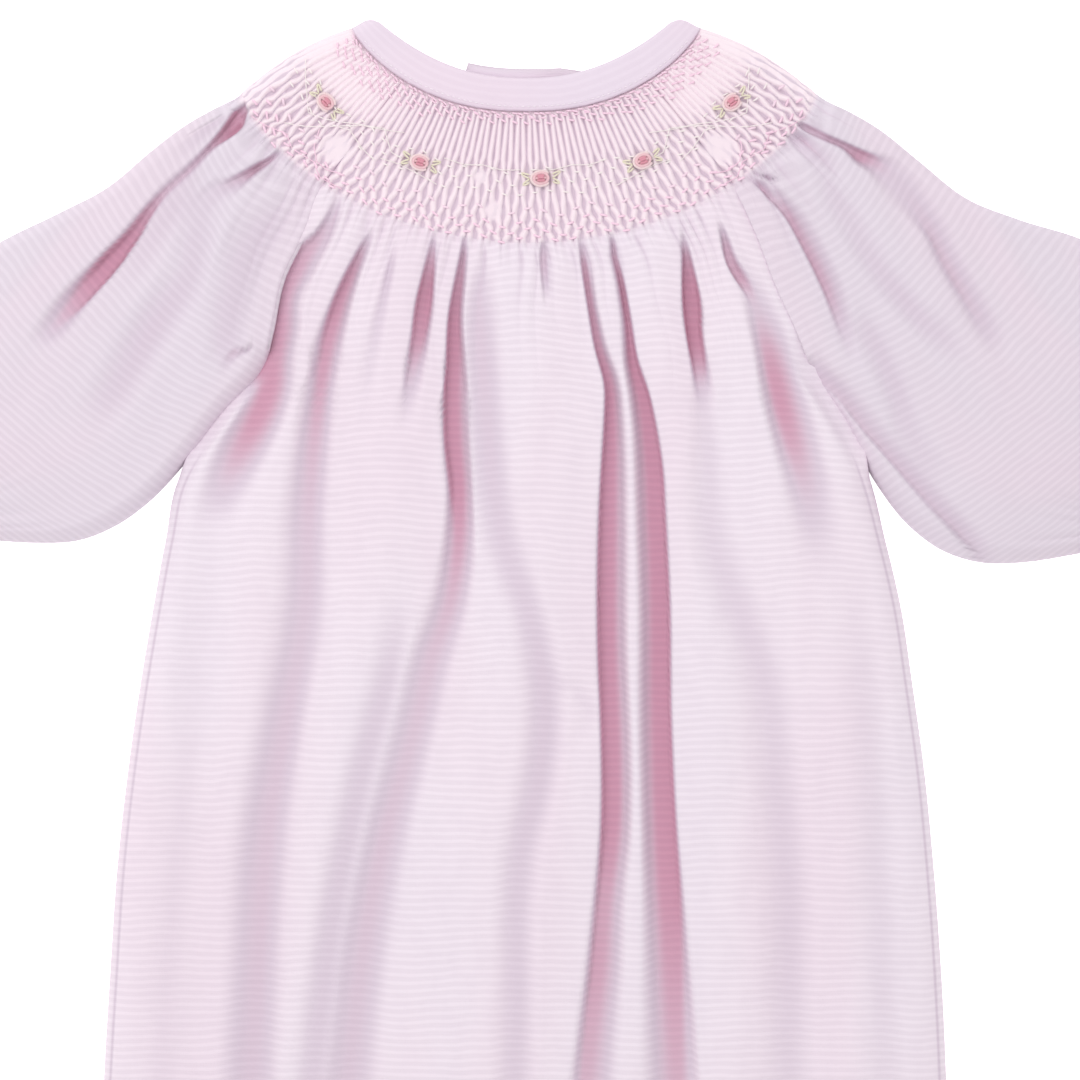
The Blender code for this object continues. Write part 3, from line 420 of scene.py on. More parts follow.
# Cells of the smocking that stay open, as smooth puffs of cloth
Window = namedtuple("Window", "pleat down wide high")
WINDOWS = (
    Window(12.6, 0.73, 2.6, 0.165),
    Window(63.6, 0.73, 2.6, 0.165),
    Window(31.6, 0.53, 1.3, 0.075),
    Window(33.8, 0.775, 1.4, 0.105),
)


def scallop(row, pleat):
    """How far a row of stitches swings down at a pleat."""
    swing = np.abs(((pleat / row.period) % 1.0) * 2.0 - 1.0)
    return row.scallop * (swing - 0.5) * 2.0


def pleat_pull(pleat, down):
    """How far the pleats are drawn to odd pairs, above 0, or even ones, below 0."""
    levels = [row.down + scallop(row, pleat) for row in STITCH_ROWS]
    pulls = [row.pull * (1.0 if row.odd else -1.0) for row in STITCH_ROWS]
    levels = [np.full_like(levels[0], -0.05)] + levels + [np.full_like(levels[0], 1.10)]
    pulls = [0.0] + pulls + [0.0]
    total = np.zeros_like(down)
    for k in range(len(levels) - 1):
        swing = ease(levels[k], levels[k + 1], down)
        inside = (down >= levels[k]) & (down < levels[k + 1])
        total = np.where(inside, mix(pulls[k], pulls[k + 1], swing), total)
    return total


def pleat_section(pleat, down):
    """Height of the pleated cloth, 0 in its valleys and 1 on its crests, and how
    wide the valley is, in pleats."""

    def crest(index):
        side = np.where(np.mod(index, 2) == 1, -1.0, 1.0)
        return index + 0.5 + side * pleat_pull(index + 0.5, down)

    valley = np.round(pleat)
    valley = valley - (pleat < crest(valley - 1)) + (pleat > crest(valley))
    first = crest(valley - 1)
    gap = crest(valley) - first
    across = np.clip((pleat - first) / gap, 0.0, 1.0)
    from_middle = np.abs(pleat / PLEATS - 0.5)
    calm = ease(0.22, 0.40, from_middle) * ease(0.62, 0.30, down)
    deep = (0.72 + 0.28 * ease(0.8, 1.2, gap)) * (1.0 - 0.5 * calm)
    narrow = np.interp(gap, (0.3, 1.0, 1.7), (1.5, 4.6, 3.0))
    raised = 1.0 - deep * np.sin(math.pi * across) ** narrow
    for window in WINDOWS:
        sideways = np.abs(pleat - window.pleat) / window.wide
        downwards = np.abs(down - window.down) / window.high
        away = (sideways**1.4 + downwards**1.4) ** (1.0 / 1.4)
        puffed = 0.36 + 0.24 * np.sqrt(np.clip(1.0 - away**2, 0.0, 1.0))
        raised = mix(raised, puffed, ease(1.0, 0.55, away))
    return raised, gap


def valley_painted_shade(raised, gap):
    """Painted shade on the smocked cloth, which is most down its narrow valleys."""
    by_gap = np.interp(gap, (0.5, 1.0, 1.5), (1.0, 0.55, 0.5))
    return 0.95 * np.clip(1.0 - raised, 0.0, 1.0) ** 2.0 * by_gap


def spaced(first, last, count, start_step):
    """Stations whose steps grow evenly from start_step."""
    k = np.arange(count + 1) / count
    even = (last - first) / count
    bend = (even - start_step) * count
    return first + start_step * count * k + bend * k * k


# Sheets of cloth


def fold_path(fold):
    """The places along a fold, joined by a smooth line of many more."""
    places = np.array(fold, float)
    reach = run_length(np.hypot(*np.diff(places[:, :2], axis=0).T))
    path = smooth_between(reach, places, np.linspace(0.0, reach[-1], 5 * len(fold)))
    path[:, 2:] = np.maximum(path[:, 2:], (0.3, 0.0, 0.8, 0.8))
    return path


def folded(x, drop, folds):
    """How deep the folds lie at each place of the cloth, and how much shade is painted
    into their colour: most beside a fold's crisp edge, less and less towards its soft side."""
    total = np.zeros_like(x)
    shade = np.zeros_like(x)
    for fold in folds:
        path = fold_path(fold)
        margin = 0.5 * path[:, 2].max() + path[:, 4:].max() + 1.0
        low = path[:, :2].min(axis=0) - margin
        high = path[:, :2].max(axis=0) + margin
        near = (x > low[0]) & (x < high[0]) & (drop > low[1]) & (drop < high[1])
        at = np.stack((x[near], drop[near]), axis=-1)
        nearest = np.full(len(at), 1e9)
        side = np.zeros(len(at))
        value = np.zeros((len(at), 4))
        for first, second in zip(path, path[1:]):
            run = second[:2] - first[:2]
            from_first = at - first[:2]
            share = np.clip(from_first @ run / (run @ run), 0.0, 1.0)
            away = np.linalg.norm(from_first - share[:, None] * run, axis=1)
            closer = away < nearest
            nearest = np.where(closer, away, nearest)
            turned = run[0] * from_first[:, 1] - run[1] * from_first[:, 0]
            side = np.where(closer, turned, side)
            value = np.where(closer[:, None], mix(first[2:], second[2:], share[:, None]), value)
        wide, depth, left, right = value.T
        reach = np.where(side > 0, left, right)
        out = np.clip((nearest - 0.5 * wide) / reach, 0.0, 1.0)
        crisp = 1.0 - round_rise(out)
        soft = 1.0 - ease(0.0, 1.0, out)
        cut = depth * mix(soft, crisp, ease(4.0, 1.8, reach))
        total[near] = (total[near] ** 3 + cut**3) ** (1.0 / 3.0)
        across = np.where(side > 0, -nearest, nearest)
        soft_left = left + 0.45 * wide * ease(1.8, 4.0, left)
        soft_right = right + 0.45 * wide * ease(1.8, 4.0, right)
        rise = ease(0.0, 1.0, (across + 0.5 * wide + left) / soft_left)
        fall = ease(0.0, 1.0, (0.5 * wide + right - across) / soft_right)
        # Painted shade of this fold, which the material mixes into the cloth's colour
        one_fold_painted_shade = np.clip(depth / 6.1, 0.0, 1.0) ** 1.1 * rise * fall
        shade[near] = 1.0 - (1.0 - shade[near]) * (1.0 - one_fold_painted_shade)
    return total, shade


def lowest_near(values, rows, columns):
    """The least value round each point, so a coarse inner sheet stays beneath."""
    low = values
    for axis, reach in ((0, rows), (1, columns)):
        spare = [(reach, reach) if k == axis else (0, 0) for k in (0, 1)]
        padded = np.pad(low, spare, mode="edge")
        size = low.shape[axis]
        shifts = [np.take(padded, range(k, k + size), axis=axis) for k in range(2 * reach + 1)]
        low = np.minimum.reduce(shifts)
    return low


def quads(first, rows, columns, flip):
    """Corner numbers of a grid of points that starts at number first."""
    k = first + np.arange(rows * columns).reshape(rows, columns)
    corners = (k[:-1, :-1], k[1:, :-1], k[1:, 1:], k[:-1, 1:])
    faces = np.stack([corner.ravel() for corner in corners], axis=1)
    return faces[:, ::-1].tolist() if flip else faces.tolist()


def rim(outer, inner, every):
    """Triangles between a fine edge line and a coarse one with every nth point."""
    faces = []
    for k in range(len(inner) - 1):
        start = k * every
        middle = start + every // 2
        for i in range(start, start + every):
            base = inner[k] if i < middle else inner[k + 1]
            faces.append([base, outer[i], outer[i + 1]])
        faces.append([inner[k], outer[middle], inner[k + 1]])
    return faces


def shell(name, outer, inner, every, places, painted_shades, ring=False):
    """One closed thin wall: a fine outer sheet, a coarser inner one and their rims.

    outer holds rows of points; inner holds every nth row and column of the same
    cloth from beneath. places and painted_shades (shade painted into the folds) are kept for the
    cloth's material.
    """
    every_row, every_column = every
    rows, columns = outer.shape[:2]
    low_rows, low_columns = inner.shape[:2]
    points = np.concatenate((outer.reshape(-1, 3), inner.reshape(-1, 3)))
    faces = quads(0, rows, columns, False)
    faces += quads(rows * columns, low_rows, low_columns, True)
    top = np.arange(rows * columns).reshape(rows, columns)
    under = rows * columns + np.arange(low_rows * low_columns).reshape(low_rows, low_columns)
    faces += rim(top[0], under[0], every_column)
    faces += rim(top[-1], under[-1], every_column)
    if not ring:
        faces += rim(top[:, 0], under[:, 0], every_row)
        faces += rim(top[:, -1], under[:, -1], every_row)
    coarse = (slice(None, None, every_row), slice(None, None, every_column))
    all_places = np.concatenate((places.reshape(-1, 3), places[coarse].reshape(-1, 3)))
    all_painted_shades = np.concatenate((painted_shades.reshape(-1), painted_shades[coarse].reshape(-1)))
    sheets = (rows - 1) * (columns - 1) + (low_rows - 1) * (low_columns - 1)
    return cloth_object(name, points, faces, all_places, all_painted_shades, ring, sheets)


def cloth_object(name, points, faces, places, painted_shades, weld=False, smooth=None):
    """A mesh object that carries each point's place on the cloth and the shade painted on it in the
    folds.

    The faces past the first smooth ones are its rims, whose edges stay sharp."""
    data = bpy.data.meshes.new(name)
    data.from_pydata(points.tolist(), [], faces)
    rounded = np.ones(len(faces), bool)
    if smooth:
        rounded[smooth:] = False
    data.polygons.foreach_set("use_smooth", rounded)
    kept = data.attributes.new("cloth_place", "FLOAT_VECTOR", "POINT")
    kept.data.foreach_set("vector", places.astype(np.float32).ravel())
    # The shade painted into the cloth's colour in its folds and valleys
    kept = data.attributes.new("painted_fold_shade", "FLOAT", "POINT")
    kept.data.foreach_set("value", painted_shades.astype(np.float32).ravel())
    mesh = bmesh.new()
    mesh.from_mesh(data)
    if weld:
        bmesh.ops.remove_doubles(mesh, verts=mesh.verts, dist=1e-6)
    bmesh.ops.recalc_face_normals(mesh, faces=mesh.faces)
    mesh.to_mesh(data)
    mesh.free()
    item = bpy.data.objects.new(name, data)
    bpy.context.scene.collection.objects.link(item)
    return item


SMOCKED_MARK = 2.0             # millimetres that mark a place as smocked
OPENS_OVER = 14.0              # how far below the smocking the cloth takes to fill out
PLEAT_FADE = 4.5               # how soon the smocking's own pleats die away below it
NEAR_EDGE = 0.93               # the place on the yoke that gives the cloth its slope
PLEAT_SPREAD = 6.4             # millimetres of knit that are counted across a pleat
SKIRT_SPREAD = 1.6             # how closely the knit is counted across the laid skirt
SLEEVE_SPREAD = 2.2            # and across a sleeve
SLEEVE_CROWN = 1.9
YOKE_SPREAD = 47.0             # millimetres of knit counted down a sleeve's smocked top
SLEEVE_PLACE = 300.0           # where a sleeve's stripes are counted from


def cloth_places(across, along, smocked=0.0):
    """Places on the cut cloth, in metres, for weaves and stripes."""
    across, along, mark = np.broadcast_arrays(across, along, SMOCKED_MARK * smocked)
    return np.stack((across, along, mark), axis=-1) * MM


def gathers(pleat, below, per_pleat=0.5):
    """Small uneven folds that the smocking lets go, which fade as they run down."""
    drift = 0.9 * wander(3.0, pleat, 9.0) + 0.25 * below / 20.0 * wander(5.0, pleat, 5.0)
    wave = np.abs(np.sin(math.pi * (pleat * per_pleat + drift)))
    tall = 0.75 + 0.25 * wander(1.0, pleat, 6.0)
    fade = ease(0.0, 6.0, below) * np.exp(-below / (22.0 + 10.0 * wander(2.0, pleat, 11.0)))
    return 2.1 * fade * tall * (wave**1.1 - 0.6)


def with_gathers(shade, small, most):
    """The painted shade of the main folds with that of the small ones added."""
    sunk = most * np.clip(-small / 1.1, 0.0, 1.0) ** 1.3
    return 1.0 - (1.0 - shade) * (1.0 - sunk)


# Front

# Down the rows from the yoke to the hem: how far the side edges roll under, and how
# far they are tucked beneath the sleeves
SIDE_ROLLED = (0.0, 0.0, 0.0, 0.0, 0.0, 0.0, 0.85) + (1.0,) * 9
SIDE_TUCKED = (0.0, 0.0, 0.2, 1.0, 1.0, 1.0, 0.1) + (0.0,) * 9
RIGHT_SEAM_HEIGHT = 9.3
CROWN_LINES = (0, 1, 4, 8, 9, 10)
CROWDED_POINTS = 13
SIDE_SEAM_IN = 2.9
SIDE_SEAM_WIDTH = 0.45
PANEL_ROWS = [Row(*raglan[:6]) for raglan in RAGLAN] + list(SIDE_ROWS)


def crown(x, drop, left, right):
    """The soft rise of the cloth between its main folds."""
    stops = [left]
    for k in CROWN_LINES:
        path = fold_path(FRONT_FOLDS[k])
        order = np.argsort(path[:, 1])
        stops.append(np.interp(drop, path[order, 1], path[order, 0]))
    stops.append(right)
    height = np.zeros_like(x)
    for first, second in zip(stops, stops[1:]):
        gap = np.maximum(second - first, 2.0)
        share = np.clip((x - first) / gap, 0.0, 1.0)
        height += np.minimum(CROWN_RATE * gap, CROWN_MOST) * np.sin(math.pi * share) ** 2
    return height


def front_columns():
    """The share round the yoke of every column of the front."""
    pleats = PLEATS - 2 * SLEEVE_PLEATS
    count = pleats * PLEAT_COLUMNS + 1
    return np.linspace(SLEEVE_PLEATS / PLEATS, 1.0 - SLEEVE_PLEATS / PLEATS, count)


def row_points(row, share):
    """x and drop of points a share of the way along a row, which sags in its middle."""
    drop = mix(row.left_drop, row.right_drop, share) + row.sag * 4.0 * share * (1.0 - share)
    return np.stack((mix(row.left_x, row.right_x, share), drop))


def crowded(row, keys):
    """Shares along a row whose ends crowd together where the cloth turns down."""
    turn = np.linspace(0.0, math.pi / 2, CROWDED_POINTS)
    edge = SIDE_ROLL * (1.0 - np.cos(turn)) / (row.right_x - row.left_x)
    inner = np.interp(
        keys[CROWDED_POINTS:-CROWDED_POINTS],
        (keys[CROWDED_POINTS - 1], keys[-CROWDED_POINTS]),
        (edge[-1], 1.0 - edge[-1]),
    )
    return np.concatenate((edge, inner, 1.0 - edge[::-1]))


def yoke_height(raised, down):
    """Height of the smocked cloth, which comes out from under the neckband."""
    out = ease(-0.005, 0.04, down)
    return YOKE_VALLEY - 0.5 * (1.0 - out) + PLEAT_DEPTH * raised * out


def front_grid():
    """Every point of the front: places, heights and what its material reads."""
    shares = front_columns()
    downs = np.linspace(YOKE_START, 1.0, YOKE_ROWS + 1)
    share_grid, down_grid = np.meshgrid(shares, downs)
    pleat = share_grid * PLEATS
    yoke_x, yoke_drop = yoke_point(share_grid, down_grid)
    raised, gap = pleat_section(pleat, down_grid)

    edge_x, edge_drop = yoke_x[-1], yoke_drop[-1]
    keys = (edge_x - edge_x[0]) / (edge_x[-1] - edge_x[0])
    near_x, near_drop = yoke_point(shares, NEAR_EDGE)
    middle = len(shares) // 2
    stations = [near_drop[middle], edge_drop[middle]]
    lines = [np.stack((near_x, near_drop)), np.stack((edge_x, edge_drop))]
    heights = [YOKE_VALLEY + 1.0, YOKE_VALLEY + 1.0]
    rolls = [0.0, 0.0]
    tucks = [0.0, 0.0]
    for k, row in enumerate(PANEL_ROWS):
        lines.append(row_points(row, keys if k < len(RAGLAN) else crowded(row, keys)))
        stations.append(lines[-1][1, middle])
        heights.append(row.height)
        rolls.append(SIDE_ROLLED[k])
        tucks.append(SIDE_TUCKED[k])
    wanted = spaced(stations[1], stations[-1], SKIRT_ROWS, 0.9)[1:]
    skirt = smooth_between(stations, lines, wanted)
    x = skirt[:, 0]
    drop = skirt[:, 1]
    level = np.interp(wanted, stations, heights)[:, None]
    roll = np.interp(wanted, stations, rolls)[:, None]
    tuck = np.interp(wanted, stations, tucks)[:, None]
    step_x = np.diff(x, axis=0, prepend=edge_x[None])
    step_drop = np.diff(drop, axis=0, prepend=edge_drop[None])
    below = np.cumsum(np.hypot(step_x, step_drop), axis=0)
    left = x[:, :1]
    right = x[:, -1:]
    cut, shade = folded(x, drop, FRONT_FOLDS)
    opened = ease(0.0, OPENS_OVER, below)
    shape = crown(x, drop, left, right)
    pleat_below = shares[None] * PLEATS + 0.0 * below
    small = gathers(pleat_below, below)
    height = level + opened * shape - cut + small
    rest_of_pleats, _ = pleat_section(pleat_below, np.full_like(below, 1.0))
    height += PLEAT_DEPTH * (rest_of_pleats - 0.55) * np.exp(-below / PLEAT_FADE)
    height += 0.3 * wander(4.0, x + 0.3 * drop, 34.0) * ease(20.0, 60.0, below)
    height = np.maximum(height, REST + 1.3)
    inward = np.minimum(x - left, right - x)
    turned = round_rise(inward / SIDE_ROLL)
    seam_line = np.exp(-(((inward - SIDE_SEAM_IN) / SIDE_SEAM_WIDTH) ** 2)) * roll
    top = mix(height, REST + (height - REST) * turned, roll) - 0.5 * seam_line
    near_left = ease(6.0, 0.0, x - left)
    near_right = ease(7.0, 0.0, right - x)
    top = mix(top, np.minimum(top, 4.4), tuck * np.maximum(near_left, near_right))
    from_yoke = ease(0.0, 8.0, below) * (1.0 - roll) * (1.0 - tuck)
    top = mix(top, RIGHT_SEAM_HEIGHT, from_yoke * ease(5.0, 0.0, right - x))

    # The edge that runs on under the sleeve
    reach = (0.6 + 2.4 * ease(2.0, 10.0, below)) * (1.0 - roll)
    under_left = reach * np.clip(1.0 - (x - left) / 3.0, 0.0, 1.0)
    under_right = reach * np.clip(1.0 - (right - x) / 3.0, 0.0, 1.0)
    top = top - 0.35 * under_left - (0.5 - 0.4 * tuck) * under_right
    x = x - under_left + under_right

    smocked = yoke_height(raised, down_grid)
    all_x = np.concatenate((yoke_x, x))
    all_drop = np.concatenate((yoke_drop, drop))
    all_height = np.concatenate((smocked, top))
    yoke_low = np.full_like(smocked, YOKE_UNDERSIDE + YOKE_WALL)
    low = lowest_near(np.concatenate((yoke_low, np.minimum(height, top + 9.0 * roll))), 2, 4)
    under = low - CLOTH
    roll_rows = np.concatenate((np.zeros((len(downs), 1)), roll))
    yoke_inward = np.minimum(yoke_x - yoke_x[:, :1], yoke_x[:, -1:] - yoke_x)
    inward_all = np.concatenate((yoke_inward, inward))
    turned_all = np.concatenate((np.ones_like(yoke_x), turned))
    under = np.maximum(under, REST)
    under = mix(under, REST + (under - REST) * turned_all, roll_rows)
    shift = CLOTH * np.clip(1.0 - inward_all / SIDE_ROLL, 0.0, 1.0) * roll_rows
    side = np.where(all_x < 0.5 * (all_x[:, :1] + all_x[:, -1:]), 1.0, -1.0)
    inner_x = all_x + side * shift

    yoke_length = np.hypot(edge_x - yoke_x[0], edge_drop - yoke_drop[0])
    cloth_along = np.concatenate(
        (
            edge_drop[None] - (1.0 - down_grid) * yoke_length[None],
            drop + 0.3 * cut + 1.1 * shape * np.exp(-below / 110.0),
        )
    )
    skirt_across = (x - 0.5 * (left + right)) * SKIRT_SPREAD
    cloth_across = np.concatenate((pleat * PLEAT_SPREAD, skirt_across))
    # Painted shade down the smocking's valleys
    valleys = valley_painted_shade(raised, gap) * ease(0.0, 0.06, down_grid)
    shaded = with_gathers(shade, small, 0.46)
    # Painted shade in the folds and small gathers, and along the side seam's groove
    painted_shade = np.concatenate((valleys, np.maximum(shaded, 0.36 * seam_line)))
    return all_x, all_drop, all_height, inner_x, all_drop, under, cloth_across, cloth_along, painted_shade


def smocked_rows(rows):
    """1 down to the last row of smocking and 0 past it, for a grid's rows."""
    return ease(YOKE_ROWS + 1.5, YOKE_ROWS - 1.0, np.arange(rows, dtype=float))[:, None]


def sheet_from(name, grid, every):
    """Turns a grid of places into a shell of cloth."""
    x, drop, height, inner_x, inner_drop, under, across, along, painted_shade = grid
    coarse = (slice(None, None, every[0]), slice(None, None, every[1]))
    outer = place(x, drop, height)
    inner = place(inner_x[coarse], inner_drop[coarse], under[coarse])
    return shell(name, outer, inner, every, cloth_places(across, along, smocked_rows(len(x))), painted_shade)


# Sleeves


def arm_ends(middle, aim, along, half):
    """The seam end and the folded end of a row across the arm."""
    angle = math.radians(aim.angle)
    ahead = (aim.side * math.cos(angle), math.sin(angle))
    across = (-aim.side * math.sin(angle), math.cos(angle))
    x = middle[0] + along * ahead[0]
    drop = middle[1] + along * ahead[1]
    return (
        (x + half * across[0], drop + half * across[1]),
        (x - half * across[0], drop - half * across[1]),
    )


def sleeve_chords(aim):
    """The rows of a sleeve below its smocking: seam end, folded end, bow, height."""
    chords = []
    for row in RAGLAN + (UNDERARM,):
        if aim.side < 0:
            ends = ((row.left_x, row.left_drop), (row.left_fold_x, row.left_fold_drop))
        else:
            ends = ((row.right_x, row.right_drop), (row.right_fold_x, row.right_fold_drop))
        chords.append((*ends, row.bow, row.height))
    seam, fold = chords[-1][:2]
    middle = ((seam[0] + fold[0]) / 2, (seam[1] + fold[1]) / 2)
    for row in ARM_ROWS:
        half = row.left_half if aim.side < 0 else row.right_half
        chords.append((*arm_ends(middle, aim, row.along, half), 0.0, row.height))
    return chords


def chord_points(chord, across):
    """x and drop a share of the way across a sleeve row, seam to fold."""
    seam, fold, bow, _ = chord
    dx = fold[0] - seam[0]
    dy = fold[1] - seam[1]
    length = math.hypot(dx, dy)
    side = 1.0 if dx > 0 else -1.0
    out = bow * 4.0 * across * (1.0 - across)
    x = seam[0] + dx * across + side * out * -dy / length
    return x, seam[1] + dy * across + side * out * dx / length


def sleeve_grid(aim, folds):
    """Every point of one sleeve, from its seam round the fold and back beneath."""
    start = SLEEVE_PLEATS / PLEATS if aim.side < 0 else 1.0 - SLEEVE_PLEATS / PLEATS
    edge = 0.0 if aim.side < 0 else 1.0
    fronts = SLEEVE_PLEATS * PLEAT_COLUMNS
    across = np.linspace(0.0, 1.0, fronts + 1)
    downs = np.linspace(YOKE_START, 1.0, YOKE_ROWS + 1)
    lines = []
    heights = []
    level = YOKE_VALLEY + 0.85
    shares = mix(start, edge, across)
    for down in (NEAR_EDGE, 1.0):
        lines.append(np.stack(yoke_point(shares, np.full_like(across, down))))
        heights.append(level)
    for chord in sleeve_chords(aim):
        lines.append(np.stack(chord_points(chord, across)))
        heights.append(chord[3])
    lines = np.array(lines)
    centre = lines[:, :, fronts // 2]
    stations = run_length(np.hypot(*np.diff(centre, axis=0).T))
    wanted = spaced(stations[1], stations[-1], ARM_STEPS, 0.9)[1:]
    lower = smooth_between(stations, lines, wanted)
    yoke_lines = np.array([np.stack(yoke_point(shares, np.full_like(across, d))) for d in downs])
    both = np.concatenate((yoke_lines, lower))
    lower_tops = np.interp(wanted, stations, heights)
    tops = np.concatenate((np.full(len(downs), level), lower_tops))[:, None]
    x = both[:, 0]
    drop = both[:, 1]
    width = np.hypot(x[:, -1:] - x[:, :1], drop[:, -1:] - drop[:, :1])
    radius = tops / 2.0
    turn_at = width - radius
    reach = SIDE_ROLL * (0.55 if aim.side < 0 else 0.75)
    below_row = np.concatenate((np.zeros(len(downs)), wanted - stations[1]))[:, None]
    underarm = stations[5] - stations[1]
    roll = ease(underarm - 8.0, underarm, below_row)
    turning = 1.0 - np.cos(np.linspace(0.0, math.pi / 2, EDGE_COLUMNS + 1))
    flat = np.linspace(0.0, 1.0, fronts - EDGE_COLUMNS + 1)[1:]
    edge_crowded = np.concatenate(
        (reach * turning[None] + 0.0 * turn_at, reach + (turn_at - reach) * flat[None]), axis=1
    )
    front_share = mix(across[None] * turn_at, edge_crowded, roll) / width
    front_x = np.array([np.interp(s, across, line) for s, line in zip(front_share, x)])
    front_drop = np.array([np.interp(s, across, line) for s, line in zip(front_share, drop)])
    value = front_share * width

    pleat = mix(start, edge, across)[None] * PLEATS + 0.0 * value
    below = below_row + 0.0 * value
    down_grid = np.concatenate((downs, np.ones(len(wanted))))[:, None] + 0.0 * value
    raised, gap = pleat_section(pleat, down_grid)

    cut, shade = folded(front_x, front_drop, folds)
    smocked = down_grid < 0.9999
    cut = np.where(smocked, 0.0, cut)
    opened = ease(0.0, OPENS_OVER, below)
    last = wanted[-1] - stations[1]
    cuffward = ease(last - 34.0, last, below)
    shape = SLEEVE_CROWN * np.sin(math.pi * np.clip(value / turn_at, 0.0, 1.0))
    small = gathers(pleat, below)
    height = tops + opened * shape * (1.0 - 0.7 * cuffward) - cut + small
    cuff_gathers = np.abs(np.sin(math.pi * (pleat + 0.6 * wander(7.0, pleat, 5.0)))) ** 0.8
    height += 0.9 * cuffward * (cuff_gathers - 0.6)
    height += 0.3 * wander(6.0, value + 0.4 * below, 30.0) * ease(15.0, 40.0, below)
    height += PLEAT_DEPTH * (raised - 0.55) * np.exp(-below / PLEAT_FADE)
    height = np.maximum(height, mix(REST + 1.3, 6.4, ease(70.0, 100.0, below)))
    height = np.where(smocked, yoke_height(raised, down_grid), height)
    turned = round_rise(value / reach)
    top = mix(height, SLEEVE_REST + (height - SLEEVE_REST) * turned, roll)
    from_yoke = ease(0.0, 8.0, below) * (1.0 - roll)
    if aim.side < 0:
        edge_out = np.clip(1.0 - value / 2.0, 0.0, 1.0)
        top -= 5.0 * (1.0 - np.sqrt(1.0 - edge_out**2)) * from_yoke
    else:
        top = mix(top, RIGHT_SEAM_HEIGHT + 0.1, from_yoke * ease(5.0, 0.0, value))
    low = lowest_near(np.where(smocked, YOKE_UNDERSIDE + YOKE_WALL, height), 2, 4)
    under = np.maximum(low - CLOTH, REST)
    under = mix(under, SLEEVE_REST + (under - SLEEVE_REST) * turned, roll)
    over = 0.9 * ease(0.0, 4.0, below) * np.clip(1.0 - value / 3.0, 0.0, 1.0)
    front_x = front_x - over * (x[:, -1:] - x[:, :1]) / width
    front_drop = front_drop - over * (drop[:, -1:] - drop[:, :1]) / width

    turn = np.linspace(math.pi / 2, -math.pi / 2, TURN_COLUMNS + 1)[1:][None]
    arc_mm = radius * (math.pi / 2 - turn)
    turn_pleat = pleat[:, -1:] + aim.side * arc_mm * SLEEVE_PLEATS / turn_at
    turn_down = np.broadcast_to(down_grid[:, :1], turn_pleat.shape)
    turn_raised, turn_gap = pleat_section(turn_pleat, turn_down)
    swell = (turn_raised - 0.6) * np.where(smocked[:, :1], 1.0, np.exp(-below[:, :1] / 9.0))
    swell = swell * np.clip(np.cos(turn), 0.0, 1.0) ** 0.5
    lift = (top[:, -1:] - tops) * (0.5 + 0.5 * np.sin(turn))
    out = np.cos(turn) * (1.0 + 0.16 * swell)
    middle_x = front_x[:, -1:]
    middle_drop = front_drop[:, -1:]
    turn_x = mix(middle_x, x[:, -1:], out)
    turn_drop = mix(middle_drop, drop[:, -1:], out)
    turn_height = radius + radius * np.sin(turn) * (1.0 + 0.1 * swell) + lift
    turn_height = np.maximum(turn_height, 0.0)
    thin = 1.0 - CLOTH / radius
    inner_turn_x = mix(middle_x, x[:, -1:], np.cos(turn) * thin)
    inner_turn_drop = mix(middle_drop, drop[:, -1:], np.cos(turn) * thin)
    inner_turn_height = radius + radius * np.sin(turn) * thin

    back_across = np.linspace(1.0, 0.0, BACK_COLUMNS + 1)[1:][None]
    seam_back = yoke_point(np.full(len(downs), start), downs, "back_neck_seam")
    back_seam_x = np.concatenate((seam_back[0][:, None], front_x[len(downs) :, :1]))
    back_seam_drop = np.concatenate((seam_back[1][:, None], front_drop[len(downs) :, :1]))
    back_x = mix(back_seam_x, middle_x, back_across)
    back_drop = mix(back_seam_drop, middle_drop, back_across)
    back_height = np.zeros_like(back_x)

    all_x = np.concatenate((front_x, turn_x, back_x), axis=1)
    all_drop = np.concatenate((front_drop, turn_drop, back_drop), axis=1)
    all_height = np.concatenate((top, turn_height, back_height), axis=1)
    shift = CLOTH * np.clip(1.0 - value / reach, 0.0, 1.0) * roll
    across_x = (x[:, -1:] - x[:, :1]) / width
    across_drop = (drop[:, -1:] - drop[:, :1]) / width
    inner_x = np.concatenate((front_x + shift * across_x, inner_turn_x, back_x), axis=1)
    under_drop = front_drop + shift * across_drop
    inner_drop = np.concatenate((under_drop, inner_turn_drop, back_drop), axis=1)
    inner_height = np.concatenate((under, inner_turn_height, back_height + CLOTH), axis=1)
    along_yoke = (1.0 - down_grid[:, :1]) * YOKE_SPREAD
    slant = 0.445 * value - 0.275 * value**2 / turn_at
    cloth_along = SLEEVE_PLACE + below - along_yoke - slant * opened + 0.16 * cut
    beyond = np.repeat(cloth_along[:, -1:], TURN_COLUMNS + BACK_COLUMNS, axis=1)
    cloth_along = np.concatenate((cloth_along, beyond), axis=1)
    fold_place = turn_at * SLEEVE_SPREAD
    back_place = fold_place + 16.0 + (1.0 - back_across) * turn_at
    across_places = (value * SLEEVE_SPREAD, fold_place + arc_mm, back_place)
    cloth_across = np.concatenate(across_places, axis=1)
    # Painted shade in the pleat valleys round the fold, in the folds and gathers below, and down the
    # smocking's valleys
    turned_painted_shade = valley_painted_shade(turn_raised, turn_gap) * np.exp(-below[:, :1] / 6.0)
    shaded = with_gathers(shade, small, 0.40)
    painted_shade = np.where(smocked, valley_painted_shade(raised, gap) * ease(0.0, 0.06, down_grid), shaded)
    painted_shade = np.concatenate((painted_shade, turned_painted_shade, np.zeros_like(back_x)), axis=1)
    outer = (all_x, all_drop, all_height)
    return *outer, inner_x, inner_drop, inner_height, cloth_across, cloth_along, painted_shade


# Neckband and cuffs

